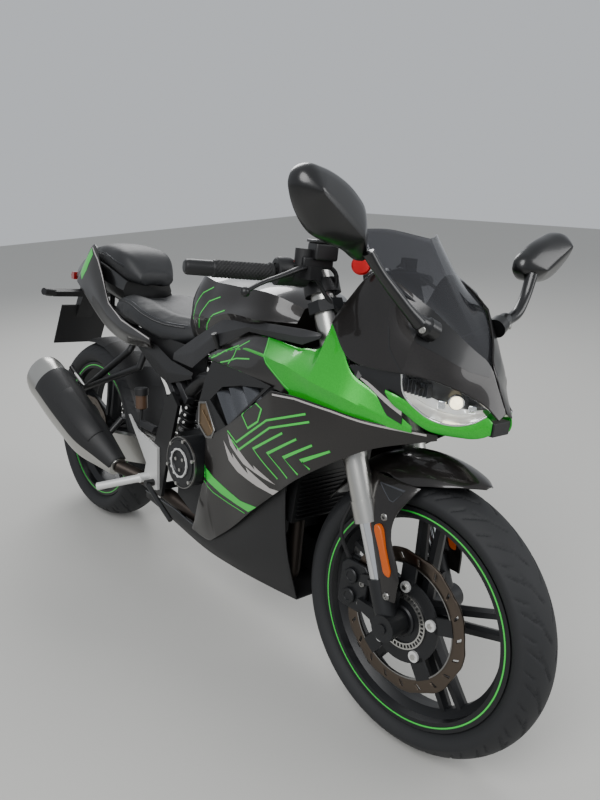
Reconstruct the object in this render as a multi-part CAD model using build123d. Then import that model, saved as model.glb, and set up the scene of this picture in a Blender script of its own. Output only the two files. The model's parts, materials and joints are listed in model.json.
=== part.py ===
from build123d import *
import math
import os

os.makedirs("parts", exist_ok=True)

# A sport bike leaning on its side stand, in millimetres and degrees.
# It is built upright: X forward from the rear axle, Y to the left, Z up from the ground.
# The front assembly is then turned by the steering angle, and all of it leaned to the left.

# Driving sizes
WHEELBASE = 1379
FRONT_R, FRONT_W = 293, 112
REAR_R, REAR_W = 303, 150
RIM_R = 232
RAKE = 24.5
TRAIL = 98
LEAN = 8.9
STEER_REST = 2.4
FORK_HALF = 98
AXLE_LEAD = 4.3
OUTER_TUBE_R, INNER_TUBE_R = 27, 18.5
AXLE_R = 9.8
HUB_R, HUB_BORE = 34, 10.1
DISC_R, DISC_IN_R, DISC_T, DISC_Y = 150, 121, 5, 58
REAR_DISC_R, REAR_DISC_IN_R, REAR_DISC_Y = 120, 95, 77
SPROCKET_Y, SPROCKET_TEETH, DRIVE_TEETH, CHAIN_PITCH = 86, 40, 15, 15.875
SPOKE_PAIRS = 5
PIVOT_X, PIVOT_Z = 556, 396
SKIN = 3
GAP = 0.3
ORIGIN_X, ORIGIN_Y = 683, 169
SETTLE = 0.7
STAND_FOOT_X, STAND_FOOT_Y = 600, 318

# The steering axis, up and back from the ground, and the direction square to it
UP = Vector(-math.sin(math.radians(RAKE)), 0, math.cos(math.radians(RAKE)))
AHEAD = Vector(math.cos(math.radians(RAKE)), 0, math.sin(math.radians(RAKE)))
FRONT_AXLE = Vector(WHEELBASE, 0, FRONT_R)
REAR_AXLE = Vector(0, 0, REAR_R)
AXLE_ALONG = TRAIL * AHEAD.Z + FRONT_R * UP.Z
OFFSET = FRONT_R * AHEAD.Z - TRAIL * UP.Z
STEER_FOOT = FRONT_AXLE - AHEAD * OFFSET
STEER_AXIS = Axis(STEER_FOOT, UP)
FORK_AHEAD = OFFSET - AXLE_LEAD

# The tables give places along the bike with the rear axle at 0, the swingarm pivot at 556, the back of the
# front tyre at 1086 and the front axle at 1379; here they move with those four
TABLE_X = (0, 556, 1086, 1379)
REAL_X = (0, PIVOT_X, WHEELBASE - FRONT_R, WHEELBASE)


def fore(x):
    for t0, t1, r0, r1 in zip(TABLE_X, TABLE_X[1:], REAL_X, REAL_X[1:]):
        if t0 <= x <= t1:
            return r0 + (x - t0) * (r1 - r0) / (t1 - t0)
    return x if x < 0 else x - TABLE_X[-1] + WHEELBASE


def spot(x, y, z):
    return Vector(fore(x), y, z)


# Shapes from lines and arcs

def rod(start, end, radius):
    start, end = Vector(*start), Vector(*end)
    return Solid.make_cylinder(radius, (end - start).length, Plane(start, z_dir=end - start))


def tube(points, radius, bend):
    """A round bar along straight runs joined by arcs of one radius."""
    path = FilletPolyline(*[tuple(p) for p in points], radius=bend)
    start = Plane(path @ 0, z_dir=path % 0)
    return sweep(start * Circle(radius), path=path).solid()


def side_plate(outline, y0, y1):
    """An outline of (x, z) points, between two distances from the middle plane."""
    face = Face(Wire.make_polygon([(x, min(y0, y1), z) for x, z in outline], close=True))
    return Solid.extrude(face, Vector(0, abs(y1 - y0), 0))


def body_plate(outline, y0, y1):
    return side_plate([(fore(x), z) for x, z in outline], y0, y1)


def turned(profile, centre):
    """A closed profile of (radius, y) points, turned about a wheel axle."""
    pts = [(centre.X + r, centre.Y + y, centre.Z) for r, y in profile]
    face = Face(Wire.make_polygon(pts, close=True))
    return Solid.revolve(face, 360, Axis(centre, (0, 1, 0)))


def inset(line, depth):
    """The same line moved inward by depth, square to its segments."""
    normals = []
    for (a0, b0), (a1, b1) in zip(line, line[1:]):
        length = math.hypot(a1 - a0, b1 - b0)
        normals.append(((b0 - b1) / length, (a1 - a0) / length))
    moved = []
    for i, (a, b) in enumerate(line):
        before, after = normals[max(i - 1, 0)], normals[min(i, len(normals) - 1)]
        na, nb = before[0] + after[0], before[1] + after[1]
        scale = 2 * depth / (na * na + nb * nb)
        moved.append((a - na * scale, b - nb * scale))
    return moved


def loft_closed(stations, across="x"):
    """A solid through closed outlines, each (place, points); x stations hold (y, z), y stations (x, z)."""
    wires = []
    for at, points in stations:
        corners = [(fore(at), a, b) if across == "x" else (fore(a), at, b) for a, b in points]
        wires.append(Wire.make_polygon(corners, close=True))
    return Solid.make_loft(wires, ruled=True)


def skin(stations, depth=SKIN, across="x"):
    """A panel of even thickness through open lines, each (place, points from top to bottom)."""
    return loft_closed([(at, line + inset(line, depth)[::-1]) for at, line in stations], across)


def rounded_body(stations, radius):
    """A solid through closed outlines with rounded corners, each (x, left half from top to bottom)."""
    wires = []
    for x, half in stations:
        corners = [(fore(x), a, b) for a, b in half + [(-a, b) for a, b in reversed(half)]]
        wires.append(FilletPolyline(*corners, radius=radius, close=True).wire())
    return Solid.make_loft(wires, ruled=True)


def mirrored(shape):
    return shape.mirror(Plane.XZ)


def both(shape):
    return [shape, mirrored(shape)]


def leg(side, along):
    """A point of a fork leg: side -1 is right, along the leg from the axle."""
    return STEER_FOOT + AHEAD * FORK_AHEAD + UP * along + Vector(0, side * FORK_HALF, 0)


def around(centre, angle, radius, y=0):
    """A point round a wheel axle; angle 0 is ahead, 90 is up."""
    a = math.radians(angle)
    return centre + Vector(radius * math.cos(a), y, radius * math.sin(a))


nodes = {}
steered = set()


def add(name, shapes, turns=False):
    nodes[name] = shapes if isinstance(shapes, list) else [shapes]
    if turns:
        steered.add(name)


def trimmed(shape, *names):
    """The largest piece of a shape outside the named nodes, so that it ends flush on them."""
    for name in names:
        for solid in nodes[name]:
            shape = shape - solid
    return max(shape.solids(), key=lambda solid: solid.volume)


def peg(start, end, radius, *names):
    return trimmed(rod(start, end, radius), *names)


# Wheels

BEAD_SEAT, WELL, BARREL_WALL = RIM_R - 14, RIM_R - 28, 7
FRONT_RIM_HALF, REAR_RIM_HALF = 43, 56
FLANGE_T = 7


def tyre(centre, radius, width, rim_half):
    """A hollow carcass: tread, bulging walls, and beads inside the rim flanges."""
    half, wall = width / 2, radius - RIM_R
    bead_y = rim_half - FLANGE_T - GAP
    shoulder, bulge = radius - 0.53 * wall, RIM_R + 0.2 * wall
    bead, flange, foot = BEAD_SEAT + GAP, RIM_R + 1, bead_y - 12
    with BuildSketch(Plane(centre, x_dir=(1, 0, 0), z_dir=(0, 0, 1))) as section:
        with BuildLine():
            ThreePointArc((shoulder, -half), (radius, 0), (shoulder, half))
            ThreePointArc((shoulder, half), (bulge, half - 4), (flange, bead_y))
            Polyline((flange, bead_y), (bead, bead_y), (bead, foot), (radius - 0.3 * wall, half - 18),
                     (radius - 11, 0), (radius - 0.3 * wall, 18 - half), (bead, -foot), (bead, -bead_y),
                     (flange, -bead_y))
            ThreePointArc((flange, -bead_y), (bulge, 4 - half), (shoulder, -half))
        make_face()
    return Solid.revolve(section.sketch.face(), 360, Axis(centre, (0, 1, 0)))


def spoke(centre, foot, tip, hub_r):
    """A tapered bar of six-sided section from the hub to the rim; foot and tip are angles."""
    near, far = around(centre, foot, hub_r), around(centre, tip, WELL + 2)
    run = (far - near).normalized()
    wide = Vector(run.Z, 0, -run.X)
    wires = []
    for point, across, deep in ((near, 15, 19), (near + (far - near) * 0.45, 10, 15), (far, 9, 13)):
        corners = [(across, 0), (across * 0.6, deep), (-across * 0.6, deep), (-across, 0), (-across * 0.6, -deep),
                   (across * 0.6, -deep)]
        wires.append(Wire.make_polygon([point + wide * a + Vector(0, d, 0) for a, d in corners], close=True))
    return Solid.make_loft(wires, ruled=True)


def rim(centre, half, hub_right, hub_left, hub_r):
    """Barrel, hub and the pairs of spokes, in one casting."""
    side = [(RIM_R, -half), (RIM_R, 4 - half), (BEAD_SEAT, FLANGE_T - half), (BEAD_SEAT, 22 - half),
            (WELL, 34 - half)]
    inner = [(WELL - BARREL_WALL, half - 34), (RIM_R - 20, half - 20), (RIM_R - 20, half)]
    profile = side + [(r, -y) for r, y in reversed(side)] + inner[::-1] + [(r, -y) for r, y in inner]
    hub = [(HUB_BORE, -hub_right), (hub_r, -hub_right), (hub_r + 6, 0), (hub_r, hub_left), (HUB_BORE, hub_left)]
    shape = turned(profile, centre) + turned(hub, centre)
    for pair in range(SPOKE_PAIRS):
        middle = 360 / SPOKE_PAIRS * pair + 18
        for sign in (-1, 1):
            shape = shape + spoke(centre, middle + sign * 24, middle + sign * 6, hub_r - 4)
    return shape.solid()


def ring_wire(centre, y, radii, start=0):
    """A closed outline round an axle through points at equal steps, one radius each."""
    step = 360 / len(radii)
    return Wire.make_polygon([around(centre, start + step * i, r, y) for i, r in enumerate(radii)], close=True)


def circle_wire(centre, y, radius):
    return Wire.make_circle(radius, Plane(centre + Vector(0, y, 0), z_dir=(0, 1, 0)))


DISC_WAVES, DISC_ARMS, WAVE = 10, 5, 3


def brake_disc(centre, y, outer, ring_in, hub_r):
    """A wavy slotted ring on a carrier with arms, its middle plane at y."""
    low = y - DISC_T / 2
    edge = ring_wire(centre, low, [outer, outer, outer - WAVE, outer - WAVE] * DISC_WAVES)
    slots = []
    for i in range(DISC_WAVES * 2):
        a = 360 / DISC_WAVES / 2 * i
        r0, r1 = ring_in + 8, outer - 9
        slots.append(Wire.make_polygon([around(centre, a + da, r, low)
                                        for da, r in ((0, r0), (2.5, r0 + 2), (5.5, r1), (3, r1 - 2))], close=True))
    ring = Solid.extrude(Face(edge, [circle_wire(centre, low, ring_in)] + slots), Vector(0, DISC_T, 0))
    star = []
    for i in range(DISC_ARMS):
        a = 360 / DISC_ARMS * i + 18
        star += [around(centre, a + da, r, low)
                 for da, r in ((-26, hub_r), (-9, hub_r + 6), (-5, ring_in + 2), (5, ring_in + 2), (9, hub_r + 6),
                               (26, hub_r))]
    bore = circle_wire(centre, low, hub_r * 0.75)
    carrier = Solid.extrude(Face(Wire.make_polygon(star, close=True), [bore]), Vector(0, DISC_T, 0))
    return (ring + carrier).solid()


def toothed(centre, y, teeth, tip_r, root_r, bore, half):
    """A sprocket: straight-sided teeth round a ring."""
    step = 360 / teeth
    pts = []
    for i in range(teeth):
        pts += [around(centre, step * (i + share), r, y - half)
                for share, r in ((0.0, root_r), (0.3, tip_r), (0.45, tip_r), (0.75, root_r))]
    face = Face(Wire.make_polygon(pts, close=True), [circle_wire(centre, y - half, bore)])
    return Solid.extrude(face, Vector(0, 2 * half, 0))


add("front_tyre", tyre(FRONT_AXLE, FRONT_R, FRONT_W, FRONT_RIM_HALF), True)
FRONT_HUB = DISC_Y - DISC_T / 2
add("front_rim", rim(FRONT_AXLE, FRONT_RIM_HALF, FRONT_HUB, FRONT_HUB, HUB_R), True)
add("front_discs", both(brake_disc(FRONT_AXLE, DISC_Y, DISC_R, DISC_IN_R, 42)), True)

REAR_HUB_R, SPROCKET_T = 40, 6
SPROCKET_R = CHAIN_PITCH / 2 / math.sin(math.pi / SPROCKET_TEETH)
DRIVE_R = CHAIN_PITCH / 2 / math.sin(math.pi / DRIVE_TEETH)
TOOTH_UP, TOOTH_DOWN = 2, 6
add("rear_tyre", tyre(REAR_AXLE, REAR_R, REAR_W, REAR_RIM_HALF))
add("rear_rim", rim(REAR_AXLE, REAR_RIM_HALF, REAR_DISC_Y - DISC_T / 2, SPROCKET_Y - SPROCKET_T / 2, REAR_HUB_R))
add("rear_disc", brake_disc(REAR_AXLE, -REAR_DISC_Y, REAR_DISC_R, REAR_DISC_IN_R, 48))
add("rear_sprocket", toothed(REAR_AXLE, SPROCKET_Y, SPROCKET_TEETH, SPROCKET_R + TOOTH_UP, SPROCKET_R - TOOTH_DOWN,
                             REAR_HUB_R - 12, SPROCKET_T / 2))

# Steering: fork legs and the axle
SLIDER_BOTTOM, OUTER_BOTTOM, OUTER_TOP = 55, 208, 1042 - AXLE_ALONG
SOCKET_R, SOCKET_TOP, EYE_R = 23, 95, 27
CALIPER_Y = 72
outer_tubes, sliders = [], []
for side in (-1, 1):
    sleeve = rod(leg(side, OUTER_BOTTOM), leg(side, OUTER_TOP), OUTER_TUBE_R - 2)
    sleeve = sleeve + rod(leg(side, OUTER_BOTTOM), leg(side, OUTER_BOTTOM + 45), OUTER_TUBE_R)
    sleeve = sleeve + rod(leg(side, OUTER_BOTTOM + 130), leg(side, OUTER_TOP), OUTER_TUBE_R)
    bore = rod(leg(side, OUTER_BOTTOM - 1), leg(side, OUTER_BOTTOM + 200), INNER_TUBE_R)
    outer_tubes.append((sleeve - bore).solid())
    sliders.append(rod(leg(side, SLIDER_BOTTOM), leg(side, OUTER_BOTTOM + 199.5), INNER_TUBE_R - 0.2))
add("fork_outer_tubes", outer_tubes, True)
add("fork_inner_tubes", sliders, True)


def fork_foot(side):
    """The boot round the slider, the axle eye and the lug that carries the caliper."""
    foot = rod(leg(side, 6), leg(side, SOCKET_TOP), SOCKET_R)
    eye = Vector(WHEELBASE, side * FORK_HALF, FRONT_R)
    foot = foot + rod(eye - Vector(0, 25, 0), eye + Vector(0, 25, 0), EYE_R)
    lug = [(x + WHEELBASE, z + FRONT_R) for x, z in ((0, -14), (-4, 64), (-60, 74), (-100, 62), (-100, 44), (-62, 46),
                                                     (-56, 4), (-100, 6), (-100, -14), (-60, -24))]
    return foot + side_plate(lug, side * (CALIPER_Y + GAP), side * (CALIPER_Y + 12))


feet = [fork_foot(side) - rod(leg(side, SLIDER_BOTTOM - GAP), leg(side, SOCKET_TOP + 1), INNER_TUBE_R)
        for side in (-1, 1)]
axle = rod((WHEELBASE, -126, FRONT_R), (WHEELBASE, 126, FRONT_R), AXLE_R)
add("fork_feet", (feet[0] + axle + feet[1]).solid(), True)

LOWER_CLAMP, UPPER_CLAMP = 777 - AXLE_ALONG, 947 - AXLE_ALONG
LOWER_THICK, UPPER_THICK, STEM_R = 34, 24, 15


def clamp(along, thick):
    """A fork clamp, in plan from the steering axis forward, with a hole for each leg."""
    plane = Plane(STEER_FOOT + UP * along, x_dir=AHEAD, z_dir=UP)
    reach = FORK_AHEAD + OUTER_TUBE_R
    half = [(-22, 26), (-4, FORK_HALF - 30), (-6, FORK_HALF + 16), (FORK_AHEAD - 14, FORK_HALF + 36),
            (FORK_AHEAD + 16, FORK_HALF + 36), (reach + 8, FORK_HALF + 14), (reach + 8, FORK_HALF - 16),
            (reach - 22, FORK_HALF - 52), (reach - 22, 26)]
    outline = [(a, -b) for a, b in half] + half[::-1]
    face = Face(Wire.make_polygon([plane.from_local_coords((a, b, 0)) for a, b in outline], close=True))
    body = Solid.extrude(face, UP * thick)
    for side in (-1, 1):
        body = body - rod(leg(side, along - 5), leg(side, along + thick + 5), OUTER_TUBE_R + 0.2)
    return body.solid()


stem = rod(STEER_FOOT + UP * (LOWER_CLAMP + 10), STEER_FOOT + UP * (UPPER_CLAMP - 0.2), STEM_R)
add("lower_clamp", (clamp(LOWER_CLAMP, LOWER_THICK) + stem).solid(), True)
add("upper_clamp", clamp(UPPER_CLAMP, UPPER_THICK), True)

# Handlebar stubs above the upper clamp, with grips, switch blocks and levers
BAR_ALONG, BAR_R, GRIP_R = 1000 - AXLE_ALONG, 11, 16.5
BAR_RISE, BAR_BACK, BAR_REACH = 23, 84, 385
stubs, grips, levers, blocks = [], [], [], []
for side in (-1, 1):
    top = leg(side, BAR_ALONG)
    inner = top + Vector(4, side * 28, 26)
    outer = top + Vector(-BAR_BACK, side * (BAR_REACH - FORK_HALF), BAR_RISE)
    run = (outer - inner).normalized()
    stub = rod(leg(side, BAR_ALONG - 14), leg(side, BAR_ALONG + 14), 38) + rod(top, inner, 15)
    stub = stub + rod(inner - run * 12, outer - run * 4, BAR_R)
    stubs.append((stub - rod(leg(side, BAR_ALONG - 60), leg(side, BAR_ALONG + 60), OUTER_TUBE_R + 0.2)).solid())
    grip = rod(inner + run * 92, outer - run * 16, GRIP_R) + rod(inner + run * 92, inner + run * 97, GRIP_R + 4)
    grip = grip + rod(outer - run * 16, outer, GRIP_R - 3)
    grips.append((grip - rod(inner, outer - run * 3, BAR_R + 0.2)).solid())
    pivot = inner + run * 56 + Vector(38, 0, -6)
    tip = pivot + run * 152 + Vector(-6, 0, -8)
    blade = [pivot - Vector(0, side * 14, 0), pivot + run * 60 + Vector(10, 0, -4), tip]
    lever = tube(blade, 6, 60) + Solid.make_sphere(9.5, Plane(tip))
    body = rod(inner + run * 22, inner + run * 88, 24)
    perch = Solid.make_box(46, 30, 26, Plane(inner + run * 38 + Vector(4, -15, -6)))
    cup = rod(inner + run * 44 + Vector(20, 0, 18), inner + run * 44 + Vector(20, 0, 52), 19)
    body = (body + perch + cup - rod(inner, outer, BAR_R + 0.2)).solid()
    blocks.append(body)
    levers.append((lever - body).solid())
add("handlebar_stubs", stubs, True)
add("grips", grips, True)
add("levers", levers, True)
add("switch_blocks", blocks, True)


def arched(centre, radius, table):
    """A mudguard skin through arcs over a tyre; rows of angle, crest over the tyre, half width, edge drop."""
    wires = []
    for angle, crest, half_w, drop in table:
        top = radius + crest
        side, crown, under = [around(centre, angle, r) for r in (top - drop, top, top - SKIN)]
        wide, narrow = Vector(0, half_w, 0), Vector(0, half_w - SKIN, 0)
        wires.append(Wire([Edge.make_three_point_arc(side - wide, crown, side + wide),
                           Edge.make_line(side + wide, side + narrow),
                           Edge.make_three_point_arc(side + narrow, under, side - narrow),
                           Edge.make_line(side - narrow, side - wide)]))
    return Solid.make_loft(wires, ruled=True)


FENDER = [
    # angle round the axle, crest over the tyre, half width, edge drop
    (146, 18, 44, 10),
    (130, 30, 60, 26),
    (118, 42, 67, 34),
    (108, 48, 69, 38),
    (97, 49, 76, 60),
    (84, 46, 66, 40),
    (76, 42, 46, 18),
    (70.5, 39, 12, 5),
]
ARM = [
    # from the axle: height, rear, front; then inner and outer distance from the middle
    (FRONT_R - 10, -110, -46, 63, 76),
    (227, -96, -34, 96, 103),
    (195, -82, -26, 101, 108),
    (110, -44, 12, 108, 115),
    (59, -24, 14, 110, 116),
]


def fender_arm(rows, side):
    wires = []
    for dz, rear, front, y0, y1 in rows:
        corners = [(rear, y0), (front, y0), (front, y1), (rear, y1)]
        wires.append(Wire.make_polygon([FRONT_AXLE + Vector(x, side * y, dz) for x, y in corners], close=True))
    return Solid.make_loft(wires, ruled=True)


fender = arched(FRONT_AXLE, FRONT_R, FENDER)
reflectors = []
for side in (-1, 1):
    arm = fender_arm(ARM, side) - rod(leg(side, 0), leg(side, 400), OUTER_TUBE_R + GAP)
    fender = fender + max(arm.solids(), key=lambda solid: solid.center().X)
    lens = [(dz, mid - 8, mid + 8, y1 + GAP, y1 + 8) for (dz, _, _, _, y1), mid in zip(ARM[2:4], (-50, -10))]
    reflectors.append(fender_arm(lens, side))
add("front_fender", fender.solid(), True)
add("reflectors", reflectors, True)


def caliper(side):
    """A body over the edge of the disc, with the slot for the disc and two piston caps."""
    shape = [(-165, -30), (-165, 60), (-150, 74), (-100, 74), (-89, 62), (-89, -18), (-104, -34), (-150, -34)]
    outline = [(WHEELBASE + x, FRONT_R + z) for x, z in shape]
    slot = [(x + 14, z) for x, z in ((WHEELBASE - 165, FRONT_R - 60), (WHEELBASE - 165, FRONT_R + 90),
                                     (WHEELBASE - 40, FRONT_R + 90), (WHEELBASE - 40, FRONT_R - 60))]
    body = side_plate(outline, side * 40, side * CALIPER_Y) - side_plate(slot, side * 53, side * 63)
    for z in (-4, 42):
        cap = Vector(WHEELBASE - 132, side * (CALIPER_Y - 2), FRONT_R + z)
        body = body + rod(cap, cap + Vector(0, side * 10, 0), 17)
    return body.solid()


add("brake_calipers", [caliper(side) for side in (-1, 1)], True)

# Tank and seats
TANK = [
    # x, then half an outline of (w, z) from the top
    (606, [(24, 866), (60, 856), (90, 812), (98, 772), (84, 736), (50, 720)]),
    (634, [(36, 899), (72, 892), (104, 846), (112, 790), (98, 742), (60, 720)]),
    (735, [(40, 905), (92, 894), (124, 850), (132, 806), (112, 762), (76, 720)]),
    (831, [(40, 908), (96, 896), (132, 863), (142, 832), (122, 800), (76, 738)]),
    (957, [(40, 905), (92, 893), (126, 858), (140, 834), (120, 812), (76, 752)]),
    (1018, [(30, 880), (62, 872), (84, 852), (92, 838), (78, 818), (50, 772)]),
]
CAP_X, CAP_Z, CAP_R = 900, 906, 41
cap = rod(spot(CAP_X, 0, CAP_Z - 10), spot(CAP_X, 0, CAP_Z + 8), CAP_R)
tank = rounded_body(TANK, 10)
add("fuel_tank", (tank - rod(spot(CAP_X, 0, CAP_Z - 6), spot(CAP_X, 0, CAP_Z + 20), CAP_R + GAP)).solid())
add("filler_cap", rod(spot(CAP_X, 0, CAP_Z - 6 + GAP), spot(CAP_X, 0, CAP_Z + 8), CAP_R))
RIDER = [
    (205, [(40, 780), (84, 790), (106, 780), (110, 752), (88, 736)]),
    (262, [(40, 782), (88, 796), (116, 780), (122, 744), (96, 724)]),
    (330, [(40, 782), (92, 794), (124, 776), (130, 738), (100, 722)]),
    (400, [(40, 774), (92, 782), (128, 762), (132, 728), (100, 714)]),
    (480, [(40, 766), (84, 770), (116, 750), (122, 718), (90, 706)]),
    (560, [(30, 770), (62, 768), (88, 750), (92, 720), (68, 706)]),
    (605.7, [(24, 782), (48, 776), (64, 756), (66, 730), (48, 716)]),
]
add("rider_seat", rounded_body(RIDER, 9))
PILLION = [
    (-60, [(28, 914), (52, 908), (64, 896), (56, 884.3)]),
    (100, [(40, 932), (78, 920), (90, 894), (78, 866.3)]),
    (200, [(40, 914), (76, 904), (86, 872), (74, 840.5)]),
    (258, [(28, 862), (48, 856), (58, 842), (48, 826)]),
]
add("pillion_seat", rounded_body(PILLION, 5))

# Tail
COWL = [
    (-265, [(10, 812), (22, 808), (26, 796), (20, 786), (8, 784)]),
    (-160, [(30, 856), (56, 848), (62, 824), (46, 790), (16, 786)]),
    (-60, [(40, 884), (76, 880), (86, 850), (62, 798), (20, 790)]),
    (100, [(40, 866), (74, 860), (88, 820), (70, 778), (20, 770)]),
    (204.7, [(40, 839), (70, 834), (84, 806), (70, 762), (20, 756)]),
]
add("tail_cowl", rounded_body(COWL, 4))
WING = [
    # x, then (w, z) from the top
    (-60, [(110, 812), (113, 807), (114, 802)]),
    (4, [(90, 926), (112, 850), (118, 772)]),
    (96, [(104, 856), (120, 790), (118, 720)]),
    (179, [(118, 770), (124, 730), (118, 684)]),
    (276, [(124, 734), (128, 700), (118, 664)]),
    (458, [(130, 706), (130, 690), (122, 676)]),
]
WING_T = 5
add("tail_wings", [trimmed(wing, "rider_seat") for wing in both(skin(WING, WING_T))])
add("tail_light", body_plate([(-286, 786), (-290, 800), (-282, 812), (-265.3, 812), (-265.3, 786)], -34, 34))
PLATE_T, PLATE_HALF = 4, 90
holder = body_plate([(-150, 800), (-200, 800), (-285, 640), (-262, 640), (-190, 740)], -30, 30)
holder = holder + body_plate([(-236, 700), (-306, 552), (-306 + PLATE_T, 550), (-232, 698)], -PLATE_HALF, PLATE_HALF)
holder = holder + body_plate([(-178, 752), (-196, 760), (-206, 742), (-188, 734)], -140, 140)
for side in (-1, 1):
    lamp = [spot(-192, side * 134, 747), spot(-175, side * 178, 753)]
    holder = holder + rod(lamp[0], lamp[1], 12)
add("plate_holder", trimmed(holder, "tail_cowl"))

# Nose, screen and lamps
SCREEN = [
    # distance from the middle, then (x, z) from the rear edge forward
    (-118, [(1202, 1050), (1250, 990), (1322, 946)]),
    (-70, [(1236, 1054), (1310, 968), (1388, 900)]),
    (-30, [(1264, 1048), (1338, 956), (1436, 846)]),
    (0, [(1277, 1044), (1348, 950), (1456, 822)]),
    (30, [(1264, 1048), (1338, 956), (1436, 846)]),
    (70, [(1236, 1054), (1310, 968), (1388, 900)]),
    (118, [(1202, 1050), (1250, 990), (1322, 946)]),
]
add("windscreen", skin(SCREEN, 3, "y"))
NOSE = [
    (1185, [(128, 900), (140, 884), (150, 868)]),
    (1251, [(112, 976), (138, 900), (162, 812)]),
    (1308, [(106, 958), (140, 880), (160, 806)]),
    (1373, [(88, 922), (134, 860), (150, 806)]),
    (1429, [(38, 864), (90, 812), (112, 778)]),
    (1458, [(5, 830), (52, 790), (78, 758)]),
    (1502, [(2, 752), (18, 744), (32, 736)]),
]
add("nose_cowl", [trimmed(half, "windscreen") for half in both(skin(NOSE))])
LAMP = [
    (1376, [(146, 797), (144, 776), (104, 776), (104, 797)]),
    (1429, [(108, 769), (102, 737), (64, 737), (64, 769)]),
    (1458, [(76, 750), (72, 731), (40, 731), (40, 750)]),
    (1490, [(38, 736), (38, 732), (24, 732), (24, 736)]),
]
add("headlamps", [trimmed(lamp, "nose_cowl") for lamp in both(loft_closed(LAMP))])
CHIN = [
    (1340, [(150, 772), (150, 740), (146, 740), (146, 772)]),
    (1429, [(106, 744), (100, 706), (70, 706), (70, 744)]),
    (1470, [(66, 738), (60, 704), (30, 704), (30, 738)]),
    (1496, [(34, 730), (30, 712), (10, 712), (10, 730)]),
]
add("chin", [trimmed(half, "headlamps", "nose_cowl") for half in both(loft_closed(CHIN))])

# Side bodywork, both sides: x, then (w, z) from the top
UPPER = [
    (775, [(148, 724), (150, 719), (150, 716), (150, 713)]),
    (911, [(138, 794), (162, 765), (166, 722), (166, 717)]),
    (1096, [(140, 800), (185, 768), (182, 733), (180, 708)]),
    (1160, [(136, 830), (186, 756), (180, 729), (178, 706)]),
    (1172, [(134, 870), (186, 753), (180, 728), (178, 706)]),
    (1270, [(150, 806), (176, 736), (168, 717), (166, 704)]),
    (1372, [(128, 712), (130, 708), (129, 704), (128, 700)]),
]
add("upper_fairings", [trimmed(half, "nose_cowl") for half in both(skin(UPPER))])
LOWER = [
    (690, [(108, 236), (111, 229), (110, 222)]),
    (771, [(148, 363), (132, 290), (108, 222)]),
    (800, [(158, 425), (142, 335), (114, 242)]),
    (808, [(168, 526), (156, 400), (116, 248)]),
    (876, [(172, 567), (160, 440), (124, 302)]),
    (985, [(187, 643), (174, 520), (145, 399)]),
    (1078, [(200, 711), (184, 594), (154, 480)]),
    (1145, [(194, 715), (184, 624), (166, 533)]),
    (1235, [(180, 711), (172, 655), (156, 598)]),
    (1300, [(164, 706), (154, 670), (142, 640)]),
    (1420, [(84, 699), (84, 694), (82, 688)]),
]
add("lower_fairings", [trimmed(half, "upper_fairings") for half in both(skin(LOWER))])
BELLY = [
    (392, [(84, 222), (82, 200), (64, 186)]),
    (571, [(98, 236), (94, 202), (76, 176)]),
    (740, [(104, 240), (102, 205), (82, 168)]),
    (850, [(112, 330), (106, 220), (78, 170)]),
    (985, [(130, 440), (116, 300), (70, 178)]),
    (1076, [(138, 520), (112, 330), (64, 186)]),
]
add("belly_pan", skin([(x, half + [(-w, z) for w, z in reversed(half)]) for x, half in BELLY]))
FRAME_COVER = [
    (566, [(118, 686), (120, 676), (120, 668)]),
    (690, [(132, 752), (140, 712), (140, 672)]),
    (775, [(132, 800), (146, 764), (144, 732)]),
    (804, [(132, 816), (146, 780), (142, 748)]),
    (911, [(132, 828), (144, 814), (138, 803)]),
    (1096, [(136, 840), (144, 824), (142, 808)]),
    (1150, [(137, 840), (143, 836), (143, 831)]),
]
add("frame_covers", [trimmed(half, "fuel_tank", "upper_fairings", "rider_seat") for half in both(skin(FRAME_COVER))])
SEAT_COVER = [
    (330, [(104, 690), (106, 680), (106, 670)]),
    (467, [(112, 686), (118, 650), (114, 610)]),
    (560, [(122, 664), (132, 630), (128, 600)]),
    (680, [(130, 656), (134, 648), (132, 640)]),
]
add("seat_covers", both(skin(SEAT_COVER)))

# Side intakes: a plate with an opening, two louvres across it and the duct mouth behind
INTAKE_EDGE = [(1058, 714), (911, 718), (790, 712), (764, 660), (746, 602), (736, 560), (744, 545), (768, 542),
               (806, 522), (842, 530), (884, 566)]
INTAKE_HOLE = [(1022, 692), (842, 660), (804, 620), (884, 582)]
DUCT_EDGE = [(754, 600), (790, 609), (846, 556), (836, 534), (810, 526), (764, 546)]
LOUVRES = [((836, 652), (904, 592)), ((896, 672), (944, 624))]
INTAKE_T, LOUVRE_WIDE, LOUVRE_DEEP, LOUVRE_T = 4, 34, 18, 3


def intake_w(x, z):
    """The intake plate's distance from the middle: it leans out towards its front top."""
    return 150 + 0.13 * (x - 784) - 0.06 * (z - 690)


def intake_corner(x, z, out=0):
    return spot(x, intake_w(x, z) + out, z)


def intake():
    outer, hole, duct = [Wire.make_polygon([intake_corner(x, z) for x, z in edge], close=True)
                         for edge in (INTAKE_EDGE, INTAKE_HOLE, DUCT_EDGE)]
    shape = Solid.extrude(Face(outer, [hole]), Vector(0, -INTAKE_T, 0))
    shape = shape + Solid.extrude(Face(duct), Vector(0, 5, 0))
    for (x0, z0), (x1, z1) in LOUVRES:
        quad = [intake_corner(x0, z0, -1), intake_corner(x1, z1, -1),
                intake_corner(x1 + LOUVRE_WIDE, z1 + 10, -LOUVRE_DEEP),
                intake_corner(x0 + LOUVRE_WIDE, z0 + 10, -LOUVRE_DEEP)]
        near, far = quad[:3], [quad[0], quad[2], quad[3]]
        for corners in (near, far):
            face = Face(Wire.make_polygon(corners, close=True))
            shape = shape + Solid.extrude(face, Vector(-LOUVRE_T, 0, 0))
    return shape


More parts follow.
